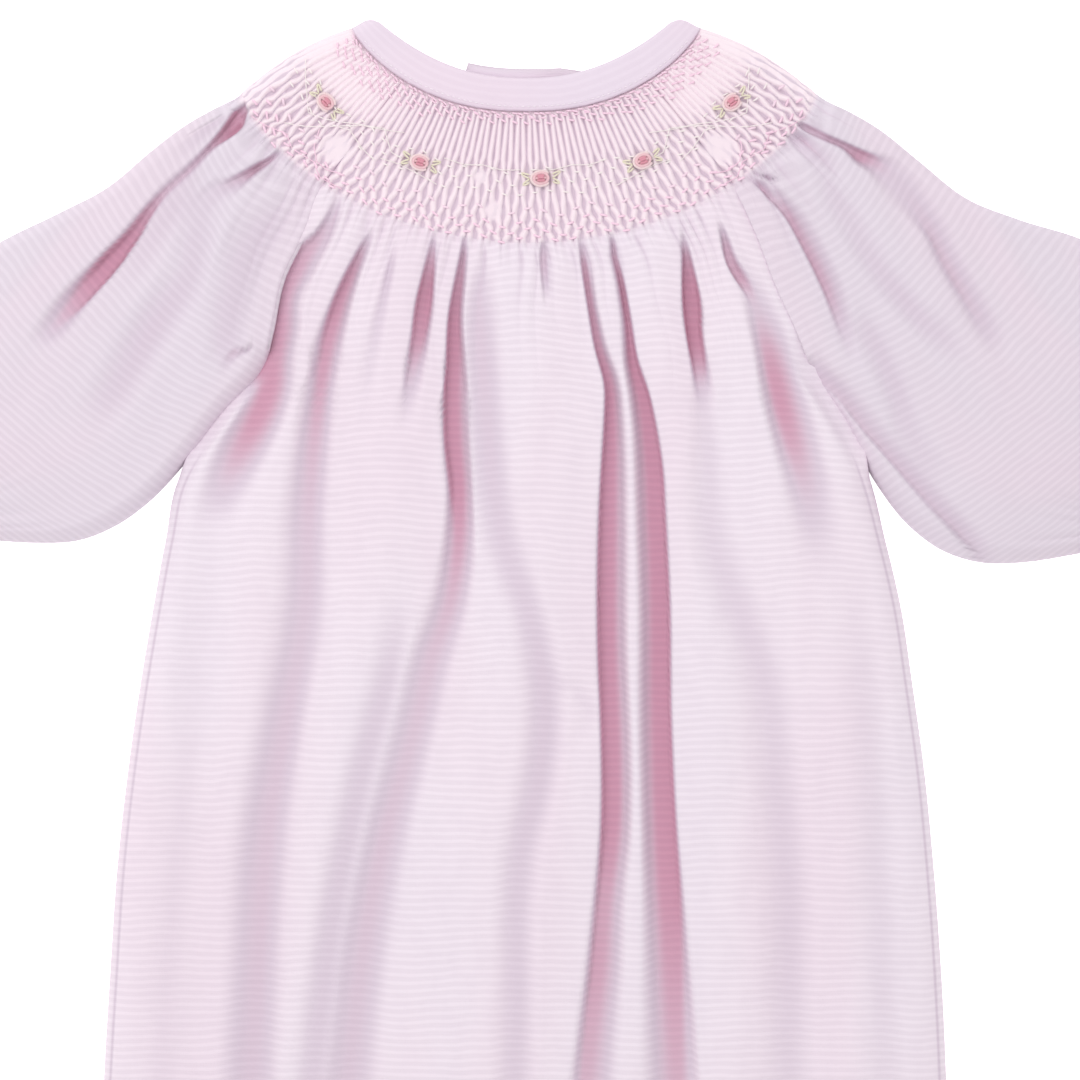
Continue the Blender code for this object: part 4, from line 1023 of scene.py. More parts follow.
BAND_COLUMNS = 16
BAND_STEPS = 96
BAND_TURNS = 18
BAND_CROWN = 0.7
BAND_WIDTH = 12.6


def band_crown(across):
    """How far the band's cloth rounds up a share of the way across it."""
    return BAND_CROWN * np.sin(math.pi * across) ** 0.6 - 0.25


def band_line(name, share):
    """x and drop along one edge of the neckband."""
    return np.stack(on_line(name, np.asarray(share, float)))


def behind(share):
    """The band's top and seam lines behind the neck, tucked under the front but
    for the lapped end that shows above the dip."""
    top = band_line("back_neck_top", share)
    seam = band_line("back_neck_seam", share)
    front_top = band_line("neck_top", share)
    front_seam = band_line("neck_seam", share)
    shown = ease(-25.2, -24.2, top[0]) * (1.0 - ease(12.0, 27.0, top[0]))
    tucked = np.stack((front_top[0], front_top[1] + 1.2))
    tucked_seam = np.stack((front_seam[0], front_seam[1]))
    return mix(tucked, top, shown), mix(tucked_seam, seam, shown)


def band_grid():
    """Every point of the neckband, from its under end round to its lapped end."""
    radius = BAND_HEIGHT / 2
    span = 2.0 * ARCS["neck_top"].half * 1.25
    tuck = radius / span
    lap_start = 0.5 + UNDERLAP / span
    lap_end = 0.5 - LAP / span
    across = np.linspace(0.0, 1.0, BAND_COLUMNS + 1)
    crown = band_crown(across)
    outer = []
    inner = []
    ones = np.ones_like(across)

    def row(top, seam, high, low):
        x = mix(top[0], seam[0], across)
        drop = mix(top[1], seam[1], across)
        outer.append(np.stack((x, drop, high * ones)))
        inner.append(np.stack((x, drop, low * ones)))

    def fold(share_in, share_tip, turn):
        top_in, top_tip = band_line("neck_top", (share_in, share_tip)).T
        seam_in, seam_tip = band_line("neck_seam", (share_in, share_tip)).T
        rounded = 0.2 + 0.8 * round_rise(across / 0.42)
        for rows, reach in ((outer, radius), (inner, radius - 1.5)):
            out = reach / radius * math.cos(turn) * rounded
            x, drop = (
                mix(mix(top_in[k], seam_in[k], across), mix(top_tip[k], seam_tip[k], across), out)
                for k in (0, 1)
            )
            lift = crown * (0.5 + 0.5 * math.sin(turn)) if rows is outer else 0.0
            rows.append(np.stack((x, drop, (radius + reach * math.sin(turn)) * ones + lift)))

    for share in np.linspace(lap_start, tuck, 20):
        top, seam = behind(share)
        top[1] = max(top[1], band_line("neck_top", share)[1] + 1.2)
        row(top, seam, 0.0, 1.2)
    turns = np.linspace(-math.pi / 2, math.pi / 2, BAND_TURNS + 2)[1:-1]
    for turn in turns:
        fold(tuck, 0.0, turn)
    for share in np.linspace(tuck, 1.0 - tuck, BAND_STEPS + 1):
        top, seam = band_line("neck_top", share), band_line("neck_seam", share)
        row(top, seam, BAND_HEIGHT + crown, BAND_HEIGHT - 1.8)
    for turn in turns[::-1]:
        fold(1.0 - tuck, 1.0, turn)
    for share in np.linspace(1.0 - tuck, lap_end, 49):
        top, seam = behind(share)
        lift = REST * float(ease(lap_start + 0.09, lap_start + 0.03, np.array(share)))
        lift += 3.6 * float(ease(0.62, 0.5, np.array(share)))
        row(top, seam, lift, lift + 1.2)
    return np.array(outer), np.array(inner)


def build_neckband():
    """The bound strip round the neck, folded at the shoulders and lapped behind."""
    outer, inner = band_grid()
    spare = (len(outer) - 1) % EVERY[0]
    points, under = (place(*np.moveaxis(rows[spare:], 1, 0)) for rows in (outer, inner))
    middle = points[:, BAND_COLUMNS // 2]
    along = run_length(np.linalg.norm(np.diff(middle, axis=0), axis=1))
    across = np.linspace(0.0, BAND_WIDTH, BAND_COLUMNS + 1) * MM
    places = np.stack(np.broadcast_arrays(along[:, None], across[None], 0.0), axis=-1)
    # Painted shade along the band's seam edge, where it meets the smocking
    seam_painted_shade = 0.25 * np.exp(-(((across[None] / MM - BAND_WIDTH) / 0.5) ** 2))
    painted_shade = np.zeros(points.shape[:2]) + seam_painted_shade
    return shell("neckband_cloth", points, under[::3, ::4], EVERY, places, painted_shade)


CUFF_COLUMNS = 64


def build_cuff(name, aim):
    """The plain band that a sleeve is gathered into, a flattened ring."""
    seam, fold = sleeve_chords(aim)[-1][:2]
    middle = ((seam[0] + fold[0]) / 2, (seam[1] + fold[1]) / 2)
    half = math.hypot(seam[0] - fold[0], seam[1] - fold[1]) / 2
    turn = np.linspace(0.0, 2.0 * math.pi, CUFF_COLUMNS + 1)
    outer = []
    inner = []
    steps = np.linspace(0.0, 1.0, 9)
    for step in steps:
        along = 0.3 + step * (CUFF_LENGTH - 0.3)
        ends = arm_ends(middle, aim, along, half)
        swell = 0.35 * math.sin(math.pi * step) ** 0.5
        for rows, thin in ((outer, -swell), (inner, 1.0)):
            radius = CUFF_HEIGHT / 2 - 0.35 - thin
            flat = half - CUFF_HEIGHT / 2
            reach = flat * np.clip(np.abs(np.cos(turn)) * 4.0, 0.0, 1.0)
            reach = np.sign(np.cos(turn)) * reach + radius * np.cos(turn)
            height = CUFF_HEIGHT / 2 + radius * np.sin(turn)
            share = 0.5 + 0.5 * reach / half
            x = mix(ends[0][0], ends[1][0], share)
            drop = mix(ends[0][1], ends[1][1], share)
            rows.append(place(x, drop, height))
    outer = np.array(outer)
    inner = np.array(inner)
    around = run_length(np.linalg.norm(np.diff(outer[4], axis=0), axis=1))
    along = steps[:, None] * CUFF_LENGTH * MM
    places = np.stack(np.broadcast_arrays(around[None], along, 0.0), axis=-1)
    painted_shade = np.zeros(outer.shape[:2])
    return shell(name, outer, inner[::2, ::4], (2, 4), places, painted_shade, ring=True)


# Back panel


BACK_EDGE_GAP = 0.15
BACK_PANEL_COLUMNS = 96
SLIT_LOW = 110.0


def build_back():
    """The back panel: one flat sheet with a slit at its middle."""
    share = np.linspace(0.0, 1.0, BACK_PANEL_COLUMNS + 1)
    left_share = SLEEVE_PLEATS / PLEATS
    shares = mix(left_share, 1.0 - left_share, share)
    rows = [
        np.stack(yoke_point(shares, np.full_like(shares, down), "back_neck_seam"))
        for down in np.linspace(YOKE_START, 1.0, 13)
    ]
    lines = np.array(rows + [row_points(row, share) for row in PANEL_ROWS])
    middle = lines[:, 1, BACK_PANEL_COLUMNS // 2]
    wanted = np.linspace(middle[0], middle[-1], 121)
    grid = smooth_between(middle, lines, wanted)
    x = grid[:, 0]
    drop = grid[:, 1]
    slit = 0.5 * np.exp(-np.abs(x) / 1.5) * (drop < SLIT_LOW)
    wave = 0.06 * wander(2.0, x, 50.0)
    under = place(np.clip(x, x[:, :1] + BACK_EDGE_GAP, x[:, -1:] - BACK_EDGE_GAP), drop, 0.0 * x)
    upper = place(x, drop, 1.2 + np.maximum(wave - slit, -0.2))
    places = cloth_places(x * SKIRT_SPREAD, drop)
    # The slit's dip also gives painted shade in the slit
    return shell("back_cloth", upper, under[::3, ::4], EVERY, places, slit)


# Threads


class Threads:
    """Tubes of thread that are gathered up and then made into one piece."""

    def __init__(self):
        self.points = []
        self.faces = []
        self.places = []
        self.count = 0

    def tube(self, path, radius, sides=6, wrap=0.0, pitch=0.35):
        """Adds a tube along a path in metres, with rounded ends and, where wrap is
        above 0, the ridges of thread wound round it."""
        path = np.asarray(path, float)
        along = run_length(np.linalg.norm(np.diff(path, axis=0), axis=1))
        heading = np.gradient(path, axis=0)
        heading /= np.linalg.norm(heading, axis=1)[:, None]
        side = np.cross(heading, (0.0, 0.0, 1.0))
        side /= np.linalg.norm(side, axis=1)[:, None] + 1e-12
        over = np.cross(side, heading)
        turn = np.linspace(0.0, 2.0 * math.pi, sides, endpoint=False)
        cap = np.minimum(along, along[-1] - along)
        ridge = 1.0 + wrap * np.cos(2.0 * math.pi * along[:, None] / (pitch * MM) + turn[None])
        reach = radius * round_rise(cap / radius, 0.02)[:, None] * ridge
        ring = (
            path[:, None]
            + reach[..., None] * np.cos(turn)[None, :, None] * side[:, None]
            + reach[..., None] * np.sin(turn)[None, :, None] * over[:, None]
        )
        rows = len(path)
        start = self.count
        for i in range(rows - 1):
            for k in range(sides):
                after = (k + 1) % sides
                a = start + i * sides
                self.faces.append([a + k, a + after, a + sides + after, a + sides + k])
        self.faces.append([start + k for k in range(sides)][::-1])
        self.faces.append([start + (rows - 1) * sides + k for k in range(sides)])
        self.points.append(ring.reshape(-1, 3))
        spot = np.stack(np.broadcast_arrays(turn[None] * radius, along[:, None], 0.0), axis=-1)
        self.places.append(spot.reshape(-1, 3))
        self.count += rows * sides

    def made(self, name):
        """The piece with every tube in it."""
        points = np.concatenate(self.points)
        places = np.concatenate(self.places)
        return cloth_object(name, points, self.faces, places, np.zeros(len(points)))


STITCH_HALF = 0.44
STITCH_RADIUS = 0.30
STITCH_BENDS = 9
CABLE_HALF = 0.56
WAVE_RADIUS = 0.42
# Pink rows worked from each shoulder: how far down, and how many pleats in they reach
SIDE_STITCH_ROWS = ((0.034, 40), (0.088, 40), (0.125, 28), (0.165, 21), (0.205, 14))
SIDE_STITCH_HALF = 0.52
SIDE_STITCH_RADIUS = 0.36


def thread_height(pleat, down, over=0.16):
    """Height of a thread that lies on the pleats and sags a little between them."""
    raised, _ = pleat_section(pleat, down)
    return YOKE_VALLEY + PLEAT_DEPTH * (0.45 + 0.55 * np.clip(raised, 0.0, 1.0)) + over


def smock_stitch(threads, valley, down, tilt, half=STITCH_HALF, radius=STITCH_RADIUS):
    """One stitch across a pair of pleats, from flank to flank over both crests."""
    step = np.linspace(-1.0, 1.0, STITCH_BENDS)
    share = (valley + half * step) / PLEATS
    x, drop = yoke_point(share, down + tilt * step)
    height = YOKE_VALLEY + PLEAT_DEPTH + 0.14 - 0.9 * np.abs(step) ** 3.5
    threads.tube(place(x, drop, height), radius * MM)


def worked_line(threads, points, radius=0.21):
    """A line of stitches laid from pleat to pleat along places on the yoke."""
    points = np.array(points, float)
    pleats = np.arange(math.ceil(points[0, 0] * 2), math.floor(points[-1, 0] * 2) + 1) / 2.0
    for first, second in zip(pleats[::2], pleats[2::2]):
        pleat = np.linspace(first - 0.12, second + 0.12, 9)
        down = np.interp(pleat, points[:, 0], points[:, 1])
        down = down + 0.006 * np.sin(2.0 * math.pi * first)
        x, drop = yoke_point(pleat / PLEATS, down)
        bulge = 0.14 * np.sin(np.linspace(0.0, math.pi, 9))
        threads.tube(place(x, drop, thread_height(pleat, down) + bulge), radius * MM)


# Lines worked in cream along the trellis: pleat and how far down
CREAM_LINES = (
    (
        (1.4, 0.44), (5.2, 0.58), (7.0, 0.66), (9.0, 0.61), (12.5, 0.49), (16.2, 0.40),
        (18.8, 0.54), (21.2, 0.56),
    ),
    ((5.6, 0.86), (8.2, 0.74), (11.0, 0.58), (13.4, 0.47), (16.4, 0.41), (19.0, 0.36)),
    ((9.6, 0.62), (12.5, 0.555), (15.2, 0.62), (17.6, 0.66)),
    ((18.0, 0.62), (20.5, 0.60), (23.5, 0.62), (26.5, 0.66)),
    ((26.0, 0.44), (29.0, 0.455), (31.6, 0.435), (34.5, 0.46), (37.5, 0.45)),
)
# Lines worked in pink round the open cells, each from its left end
PINK_LINES = (
    ((9.2, 0.66), (10.4, 0.82), (11.8, 0.90), (13.4, 0.91), (15.4, 0.86)),
    (
        (2.8, 1.00), (4.6, 0.965), (7.1, 0.885), (8.7, 0.94), (11.6, 0.915), (13.2, 0.985),
        (16.1, 0.975),
    ),
)


def on_front(valley, down):
    """True where a stitch lies clear of the yoke's folded ends."""
    return 1.2 < valley < PLEATS - 1.2 and 0.0 < down < 1.02


def in_window(pleat, down):
    """True within an open cell, where no stitch is worked."""
    return any(
        math.hypot((pleat - window.pleat) / window.wide, (down - window.down) / window.high) < 0.92
        for window in WINDOWS
    )


def build_smocking():
    """Every smocking stitch, as one piece for each colour of thread."""
    made = {"pink": Threads(), "cream": Threads(), "pale": Threads()}
    for row in STITCH_ROWS:
        if not row.thread:
            continue
        for valley in range(1 + (1 - row.odd), PLEATS, 2):
            down = row.down + float(scallop(row, float(valley)))
            lean = float(scallop(row, valley + 0.5) - scallop(row, valley - 0.5))
            if on_front(valley, down) and not in_window(valley, down):
                half = CABLE_HALF if row.name.startswith("cable") else STITCH_HALF
                radius = WAVE_RADIUS if row.name.startswith("wave") else STITCH_RADIUS
                smock_stitch(made[row.thread], valley, down, 0.5 * lean + 0.004, half, radius)
    for level, (down, reach) in enumerate(SIDE_STITCH_ROWS):
        for valley in range(2, PLEATS - 1):
            if min(valley, PLEATS - valley) < reach and (valley + level) % 2:
                low = down + 0.012 * math.sin(valley * 1.3 + 40.0 * down)
                smock_stitch(made["pink"], valley, low, 0.010, SIDE_STITCH_HALF, SIDE_STITCH_RADIUS)
    for colour, lines in (("cream", CREAM_LINES), ("pink", PINK_LINES)):
        for line in lines:
            worked_line(made[colour], line)
            worked_line(made[colour], [(PLEATS - pleat, down) for pleat, down in line[::-1]])
    return {name: threads.made("smocking_" + name) for name, threads in made.items()}


TOPSTITCHES = 62
TOPSTITCH_ACROSS = 0.86        # how far across the band they lie, towards its seam


def topstitch():
    """The pale line of stitches round the neckband, near its seam."""
    threads = Threads()
    height = BAND_HEIGHT + band_crown(TOPSTITCH_ACROSS) - 0.02
    height = height + 0.10 * np.sin(np.linspace(0.0, math.pi, 5))
    for k in range(TOPSTITCHES):
        share = mix(0.045, 0.955, (k + np.linspace(0.12, 0.82, 5)) / TOPSTITCHES)
        x, drop = mix(band_line("neck_top", share), band_line("neck_seam", share), TOPSTITCH_ACROSS)
        threads.tube(place(x, drop, height), 0.2 * MM)
    return threads.made("neckband_topstitch")


ROSE_BASE = YOKE_VALLEY + PLEAT_DEPTH + 0.2
COIL = 0.56
ROSE_SIZE = 0.88


def on_rose(rose, across, down, height):
    """Points across and down from a rose's middle, turned as it is."""
    x, drop = yoke_point(np.array(rose.share), np.array(rose.down))
    angle = math.radians(rose.turn)
    out_x = across * math.cos(angle) - down * math.sin(angle)
    out_drop = across * math.sin(angle) + down * math.cos(angle)
    return place(x + out_x, drop + out_drop, ROSE_BASE + height)


def coil_path(rose, coil):
    """Points along part of an oval that a wound coil follows."""
    turn = np.radians(np.linspace(coil.start, coil.end, 64))
    across = ROSE_SIZE * (coil.centre[0] + coil.half[0] * np.cos(turn))
    down = ROSE_SIZE * (coil.centre[1] + coil.half[1] * np.sin(turn))
    return on_rose(rose, across, down, coil.height)


# Each wound coil of a rose: centre, half sizes, angles, height and colour
Coil = namedtuple("Coil", "centre half start end height thread")
ROSE_COILS = (
    Coil((0.0, -1.2), (2.2, 0.2), 185.0, 355.0, 0.55, "soft"),
    Coil((0.0, 0.0), (2.5, 0.1), 185.0, 355.0, 0.75, "soft"),
    Coil((0.0, 1.2), (2.2, 0.2), 5.0, 175.0, 0.55, "soft"),
    Coil((0.0, -0.65), (1.6, 0.35), 200.0, 340.0, 1.25, "deep"),
    Coil((0.0, 0.55), (1.7, 0.35), 20.0, 160.0, 1.25, "deep"),
    Coil((0.0, -0.1), (1.3, 0.15), 185.0, 355.0, 1.55, "deep"),
    Coil((0.1, 0.0), (2.9, 2.1), 150.0, 285.0, 0.85, "soft"),
    Coil((0.0, 0.0), (2.9, 2.1), 265.0, 400.0, 0.95, "soft"),
    Coil((0.0, 0.1), (3.0, 2.1), 25.0, 165.0, 0.9, "soft"),
    Coil((0.0, 0.2), (3.8, 2.8), 35.0, 145.0, 0.5, "pale"),
    Coil((-0.1, 0.0), (3.8, 2.8), 130.0, 232.0, 0.5, "pale"),
    Coil((0.1, -0.1), (3.8, 2.8), 222.0, 325.0, 0.5, "pale"),
)


def build_roses():
    """Five roses of wound coils, with two looped leaves at each end."""
    pieces = []
    for rose in ROSES:
        by_thread = {"deep": Threads(), "soft": Threads(), "pale": Threads()}
        for coil in ROSE_COILS:
            radius = COIL * MM * (0.9 if coil.thread == "deep" else 1.0)
            by_thread[coil.thread].tube(coil_path(rose, coil), radius, 10, 0.10)
        for name, threads in by_thread.items():
            pieces.append((rose.name, name, threads.made(f"{rose.name}_{name}")))
        leaves = Threads()
        for side in (-1.0, 1.0):
            for spread, reach in ((-0.9, 2.9), (0.95, 2.5)):
                turn = math.pi * np.linspace(0.0, 1.0, 26)
                out = side * (4.0 + reach * np.sin(turn) ** 0.8)
                down = spread * (np.abs(out) - 2.6) / 1.9 + 0.62 * np.cos(turn)
                path = on_rose(rose, out, down, 0.35 - 0.5 * np.sin(turn) ** 2)
                leaves.tube(path, 0.34 * MM, 8, 0.07, 0.5)
        pieces.append((rose.name, "leaf", leaves.made(f"{rose.name}_leaves")))
    return pieces


# Finishes


def feed(tree, socket, value):
    """Gives an input a number, a colour or another node's output."""
    if isinstance(value, bpy.types.NodeSocket):
        tree.links.new(value, socket)
    else:
        socket.default_value = (*value, 1.0) if isinstance(value, tuple) else value


def add(tree, kind, inputs=(), **settings):
    """A node with its settings made and its inputs fed."""
    made = tree.nodes.new(kind)
    for key, value in settings.items():
        setattr(made, key, value)
    for label, value in dict(inputs).items():
        feed(tree, made.inputs[label], value)
    return made


def arithmetic(tree, operation, *values):
    """A Math node whose inputs are numbers or other nodes' outputs."""
    return add(tree, "ShaderNodeMath", dict(enumerate(values)), operation=operation).outputs[0]


def waves(tree, turns):
    """A wave between -1 and 1 that repeats once every turn."""
    return arithmetic(tree, "SINE", arithmetic(tree, "MULTIPLY", turns, 2.0 * math.pi))


def between(tree, value, low, high, most=1.0):
    """A smooth rise from 0 at low to most at high."""
    given = {"Value": value, "From Min": low, "From Max": high, "To Max": most}
    return add(tree, "ShaderNodeMapRange", given, interpolation_type="SMOOTHSTEP").outputs["Result"]


def noise(tree, where, scale, detail=2.0):
    """Soft uneven patches."""
    given = {"Vector": where, "Scale": scale, "Detail": detail}
    return add(tree, "ShaderNodeTexNoise", given).outputs["Fac"]


def blend_colours(tree, share, first, second, kind="MIX"):
    """A colour that goes from first to second as the share rises."""
    given = {0: share, 6: first, 7: second}
    return add(tree, "ShaderNodeMix", given, data_type="RGBA", blend_type=kind).outputs[2]


def start_group(name, inputs, outputs):
    """An empty shader node group with named inputs and outputs."""
    tree = bpy.data.node_groups.new(name, "ShaderNodeTree")
    tree.interface.new_socket("Place", in_out="INPUT", socket_type="NodeSocketVector")
    for label, value in inputs:
        socket = tree.interface.new_socket(label, in_out="INPUT", socket_type="NodeSocketFloat")
        socket.default_value = value
    for label in outputs:
        tree.interface.new_socket(label, in_out="OUTPUT", socket_type="NodeSocketFloat")
    given = add(tree, "NodeGroupInput").outputs
    parts = add(tree, "ShaderNodeSeparateXYZ", {0: given["Place"]}).outputs
    return tree, given, parts, add(tree, "NodeGroupOutput")


def knit_group():
    """Fine striped knit: its stripes, its stitches and its slow uneven patches."""
    tree, given, parts, result = start_group(
        "Striped knit",
        (("Stripe Pitch", 0.0028), ("Stitch Size", 0.0007), ("Waviness", 0.0045)),
        ("Stripe", "Height", "Patches", "Broad", "Smocked"),
    )
    centred = arithmetic(tree, "SUBTRACT", noise(tree, given["Place"], 20.0), 0.5)
    swing = arithmetic(tree, "MULTIPLY", centred, given["Waviness"])
    along = arithmetic(tree, "ADD", parts["Y"], swing)
    wave = waves(tree, arithmetic(tree, "DIVIDE", along, given["Stripe Pitch"]))
    band = between(tree, wave, -0.5, 1.0)
    smocked = arithmetic(tree, "MULTIPLY", parts["Z"], 1.0 / (SMOCKED_MARK * MM))
    plain = arithmetic(tree, "SUBTRACT", 1.0, smocked)
    stripe = arithmetic(tree, "MULTIPLY", band, plain)
    feed(tree, result.inputs["Stripe"], arithmetic(tree, "MULTIPLY_ADD", smocked, 0.75, stripe))
    feed(tree, result.inputs["Smocked"], smocked)

    half_stitch = arithmetic(tree, "MULTIPLY", given["Stitch Size"], 0.5)
    zigzag = arithmetic(tree, "PINGPONG", parts["X"], half_stitch)
    wale = arithmetic(tree, "DIVIDE", zigzag, half_stitch)
    slanted = arithmetic(tree, "ADD", parts["Y"], arithmetic(tree, "MULTIPLY", zigzag, 1.3))
    loops = waves(tree, arithmetic(tree, "DIVIDE", slanted, given["Stitch Size"]))
    rounded = arithmetic(tree, "SINE", arithmetic(tree, "MULTIPLY", wale, math.pi))
    height = arithmetic(tree, "MULTIPLY_ADD", loops, 0.35, rounded)
    feed(tree, result.inputs["Height"], arithmetic(tree, "MULTIPLY_ADD", band, 0.6, height))
    feed(tree, result.inputs["Patches"], noise(tree, given["Place"], 90.0, 3.0))

    stretched = add(
        tree,
        "ShaderNodeCombineXYZ",
        {
            "X": arithmetic(tree, "MULTIPLY", parts["X"], 13.0),
            "Y": arithmetic(tree, "MULTIPLY", parts["Y"], 5.0),
        },
    )
    feed(tree, result.inputs["Broad"], noise(tree, stretched.outputs["Vector"], 1.0, 1.5))
    return tree


def twist_group():
    """Twisted thread: the slanting ridges of its strands and their fine fuzz."""
    tree, given, parts, result = start_group(
        "Twisted thread", (("Twist Length", 0.0006),), ("Strand", "Fuzz")
    )
    slanted = arithmetic(tree, "ADD", parts["Y"], parts["X"])
    wave = waves(tree, arithmetic(tree, "DIVIDE", slanted, given["Twist Length"]))
    feed(tree, result.inputs["Strand"], arithmetic(tree, "MULTIPLY_ADD", wave, 0.5, 0.5))
    feed(tree, result.inputs["Fuzz"], noise(tree, given["Place"], 900.0))
    return tree


KNIT = knit_group()
TWIST = twist_group()


def start_material(name, group, length, value, roughness, sheen):
    """A material whose group reads the cloth's place, ready to wire up."""
    material = bpy.data.materials.new(name)
    material.use_nodes = True
    tree = material.node_tree
    shader = tree.nodes["Principled BSDF"].inputs
    shader["Roughness"].default_value = roughness
    shader["Specular IOR Level"].default_value = 0.25
    shader["Sheen Weight"].default_value = sheen
    shader["Sheen Roughness"].default_value = 0.45
    where = add(tree, "ShaderNodeAttribute", attribute_name="cloth_place").outputs["Vector"]
    made = tree.nodes.new("ShaderNodeGroup")
    made.node_tree = group
    feed(tree, made.inputs["Place"], where)
    feed(tree, made.inputs[length], value)
    return material, tree, shader, made.outputs


def raise_relief(tree, shader, height, strength, distance):
    """Relief of the stitches or strands, as bump."""
    given = {"Strength": strength, "Distance": distance, "Height": height}
    feed(tree, shader["Normal"], add(tree, "ShaderNodeBump", given).outputs["Normal"])


# Cloth colours, as light they throw back, and the colours of painted shade
STRIPED_PALE = (0.872, 0.775, 0.850)
# The sleeves' ground is the same knit made darker, as painted shade
SHADED_SLEEVE_PALE = (0.775, 0.690, 0.770)
BAND_PALE = (0.800, 0.690, 0.790)
STRIPE_TINT = (0.940, 0.933, 0.940)
BAND_TINT = (0.972, 0.966, 0.972)
WARM_PINK = (0.835, 0.690, 0.785)
COOL_LILAC = (0.790, 0.715, 0.810)
SMOCKED_CREAM = (0.950, 0.812, 0.870)
# Painted shade colours: lilac for shallow folds, also tinting random patches; pink for deep folds;
# mauve for the smocking's valleys
PAINTED_SHADE_AND_PATCH_LILAC = (0.700, 0.590, 0.690)
PAINTED_FOLD_SHADE_PINK = (0.645, 0.330, 0.445)
PAINTED_VALLEY_SHADE_MAUVE = (0.640, 0.450, 0.510)


def knit_material(name, ground, pitch, stripe=STRIPE_TINT, painted_fold_amount=0.95):
    """Striped knit cloth with painted shade: lilac in its shallow folds and deep pink down in its deep
    ones.
    """
    material, tree, shader, knit = start_material(name, KNIT, "Stripe Pitch", pitch, 0.88, 0.03)
    # depth is the painted fold shade that the mesh carries; deep is the painted shade colour, pink in
    # folds and mauve in the smocking's valleys
    depth = add(tree, "ShaderNodeAttribute", attribute_name="painted_fold_shade").outputs["Fac"]
    deep = blend_colours(tree, knit["Smocked"], PAINTED_FOLD_SHADE_PINK, PAINTED_VALLEY_SHADE_MAUVE)
    colour = ground
    for share, tint in (
        (between(tree, knit["Broad"], 0.40, 0.66, 0.45), WARM_PINK),
        (between(tree, knit["Broad"], 0.52, 0.34, 0.22), COOL_LILAC),
        (between(tree, knit["Patches"], 0.35, 0.75, 0.10), PAINTED_SHADE_AND_PATCH_LILAC),
        (knit["Smocked"], SMOCKED_CREAM),
        (between(tree, depth, 0.0, 0.34, 0.85), PAINTED_SHADE_AND_PATCH_LILAC),
        (between(tree, depth, 0.24, 1.02, painted_fold_amount), deep),
    ):
        colour = blend_colours(tree, share, colour, tint)
    striped = blend_colours(tree, knit["Stripe"], stripe, (1.0, 1.0, 1.0))
    feed(tree, shader["Base Color"], blend_colours(tree, 1.0, colour, striped, "MULTIPLY"))
    feed(tree, shader["Roughness"], arithmetic(tree, "MULTIPLY_ADD", knit["Patches"], 0.16, 0.78))
    raise_relief(tree, shader, knit["Height"], 0.35, 0.00018)
    return material


def thread_material(name, light, dark, roughness=0.6, twist=0.0006):
    """Twisted embroidery thread with a soft shine."""
    material, tree, shader, strands = start_material(name, TWIST, "Twist Length", twist, roughness, 0.2)
    colour = blend_colours(tree, strands["Strand"], dark, light)
    fuzz = arithmetic(tree, "MULTIPLY", strands["Fuzz"], 0.3)
    feed(tree, shader["Base Color"], blend_colours(tree, fuzz, colour, light))
    rough = arithmetic(tree, "MULTIPLY_ADD", strands["Fuzz"], 0.3, roughness - 0.15)
    feed(tree, shader["Roughness"], rough)
    raise_relief(tree, shader, strands["Strand"], 0.5, 0.00012)
    return material


striped_knit = knit_material("striped_knit", STRIPED_PALE, 0.0028)
# The sleeves' copy of the striped knit is darker, as painted shade
shaded_sleeve_knit = knit_material("shaded_sleeve_knit", SHADED_SLEEVE_PALE, 0.0028)
band_knit = knit_material("band_knit", BAND_PALE, 0.0030, BAND_TINT, 0.4)
THREADS = {
    "pink": thread_material("pink_thread", (0.96, 0.72, 0.84), (0.90, 0.60, 0.75)),
    "cream": thread_material("cream_thread", (0.97, 0.90, 0.90), (0.92, 0.82, 0.82)),
    "pale": thread_material("pale_pink_thread", (0.95, 0.76, 0.86), (0.87, 0.64, 0.76)),
    "white": thread_material("white_thread", (0.95, 0.88, 0.93), (0.88, 0.78, 0.86)),
    "deep": thread_material("rose_heart_thread", (0.80, 0.38, 0.46), (0.68, 0.27, 0.35), 0.5, 0.0004),
    "soft": thread_material("rose_petal_thread", (0.90, 0.62, 0.66), (0.82, 0.50, 0.55), 0.5, 0.0004),
    "rose_pale": thread_material(
        "rose_edge_thread", (0.93, 0.76, 0.77), (0.87, 0.67, 0.68), 0.5, 0.0004
    ),
    "leaf": thread_material("leaf_thread", (0.86, 0.80, 0.66), (0.77, 0.70, 0.54), 0.5, 0.0005),
}


# Dressing the part


def dress(item, material, slot, *nodes):
    """Gives a piece its finish and lets it stand for CAD nodes; slot is not used."""
    item.data.materials.append(material)
    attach(item, "root")
    if nodes:
        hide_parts(*nodes)
    return item


front = dress(sheet_from("front_cloth", front_grid(), (4, 4)), striped_knit, "striped_knit", "front")
back = dress(build_back(), striped_knit, "striped_knit", "back")
left_cloth = sheet_from("sleeve_left_cloth", sleeve_grid(LEFT_AIM, LEFT_ARM_FOLDS), EVERY)
sleeve_left = dress(left_cloth, shaded_sleeve_knit, "striped_knit", "sleeve_left")
right_cloth = sheet_from("sleeve_right_cloth", sleeve_grid(RIGHT_AIM, RIGHT_ARM_FOLDS), EVERY)
sleeve_right = dress(right_cloth, shaded_sleeve_knit, "striped_knit", "sleeve_right")
neckband = dress(build_neckband(), band_knit, "band_knit", "neckband")
cuff_left = dress(build_cuff("cuff_left_cloth", LEFT_AIM), band_knit, "band_knit", "cuff_left")
cuff_right = dress(build_cuff("cuff_right_cloth", RIGHT_AIM), band_knit, "band_knit", "cuff_right")
smocking = build_smocking()
for colour, piece in smocking.items():
    dress(piece, THREADS[colour], "rose_thread")
stitching = dress(topstitch(), THREADS["white"], "band_knit")
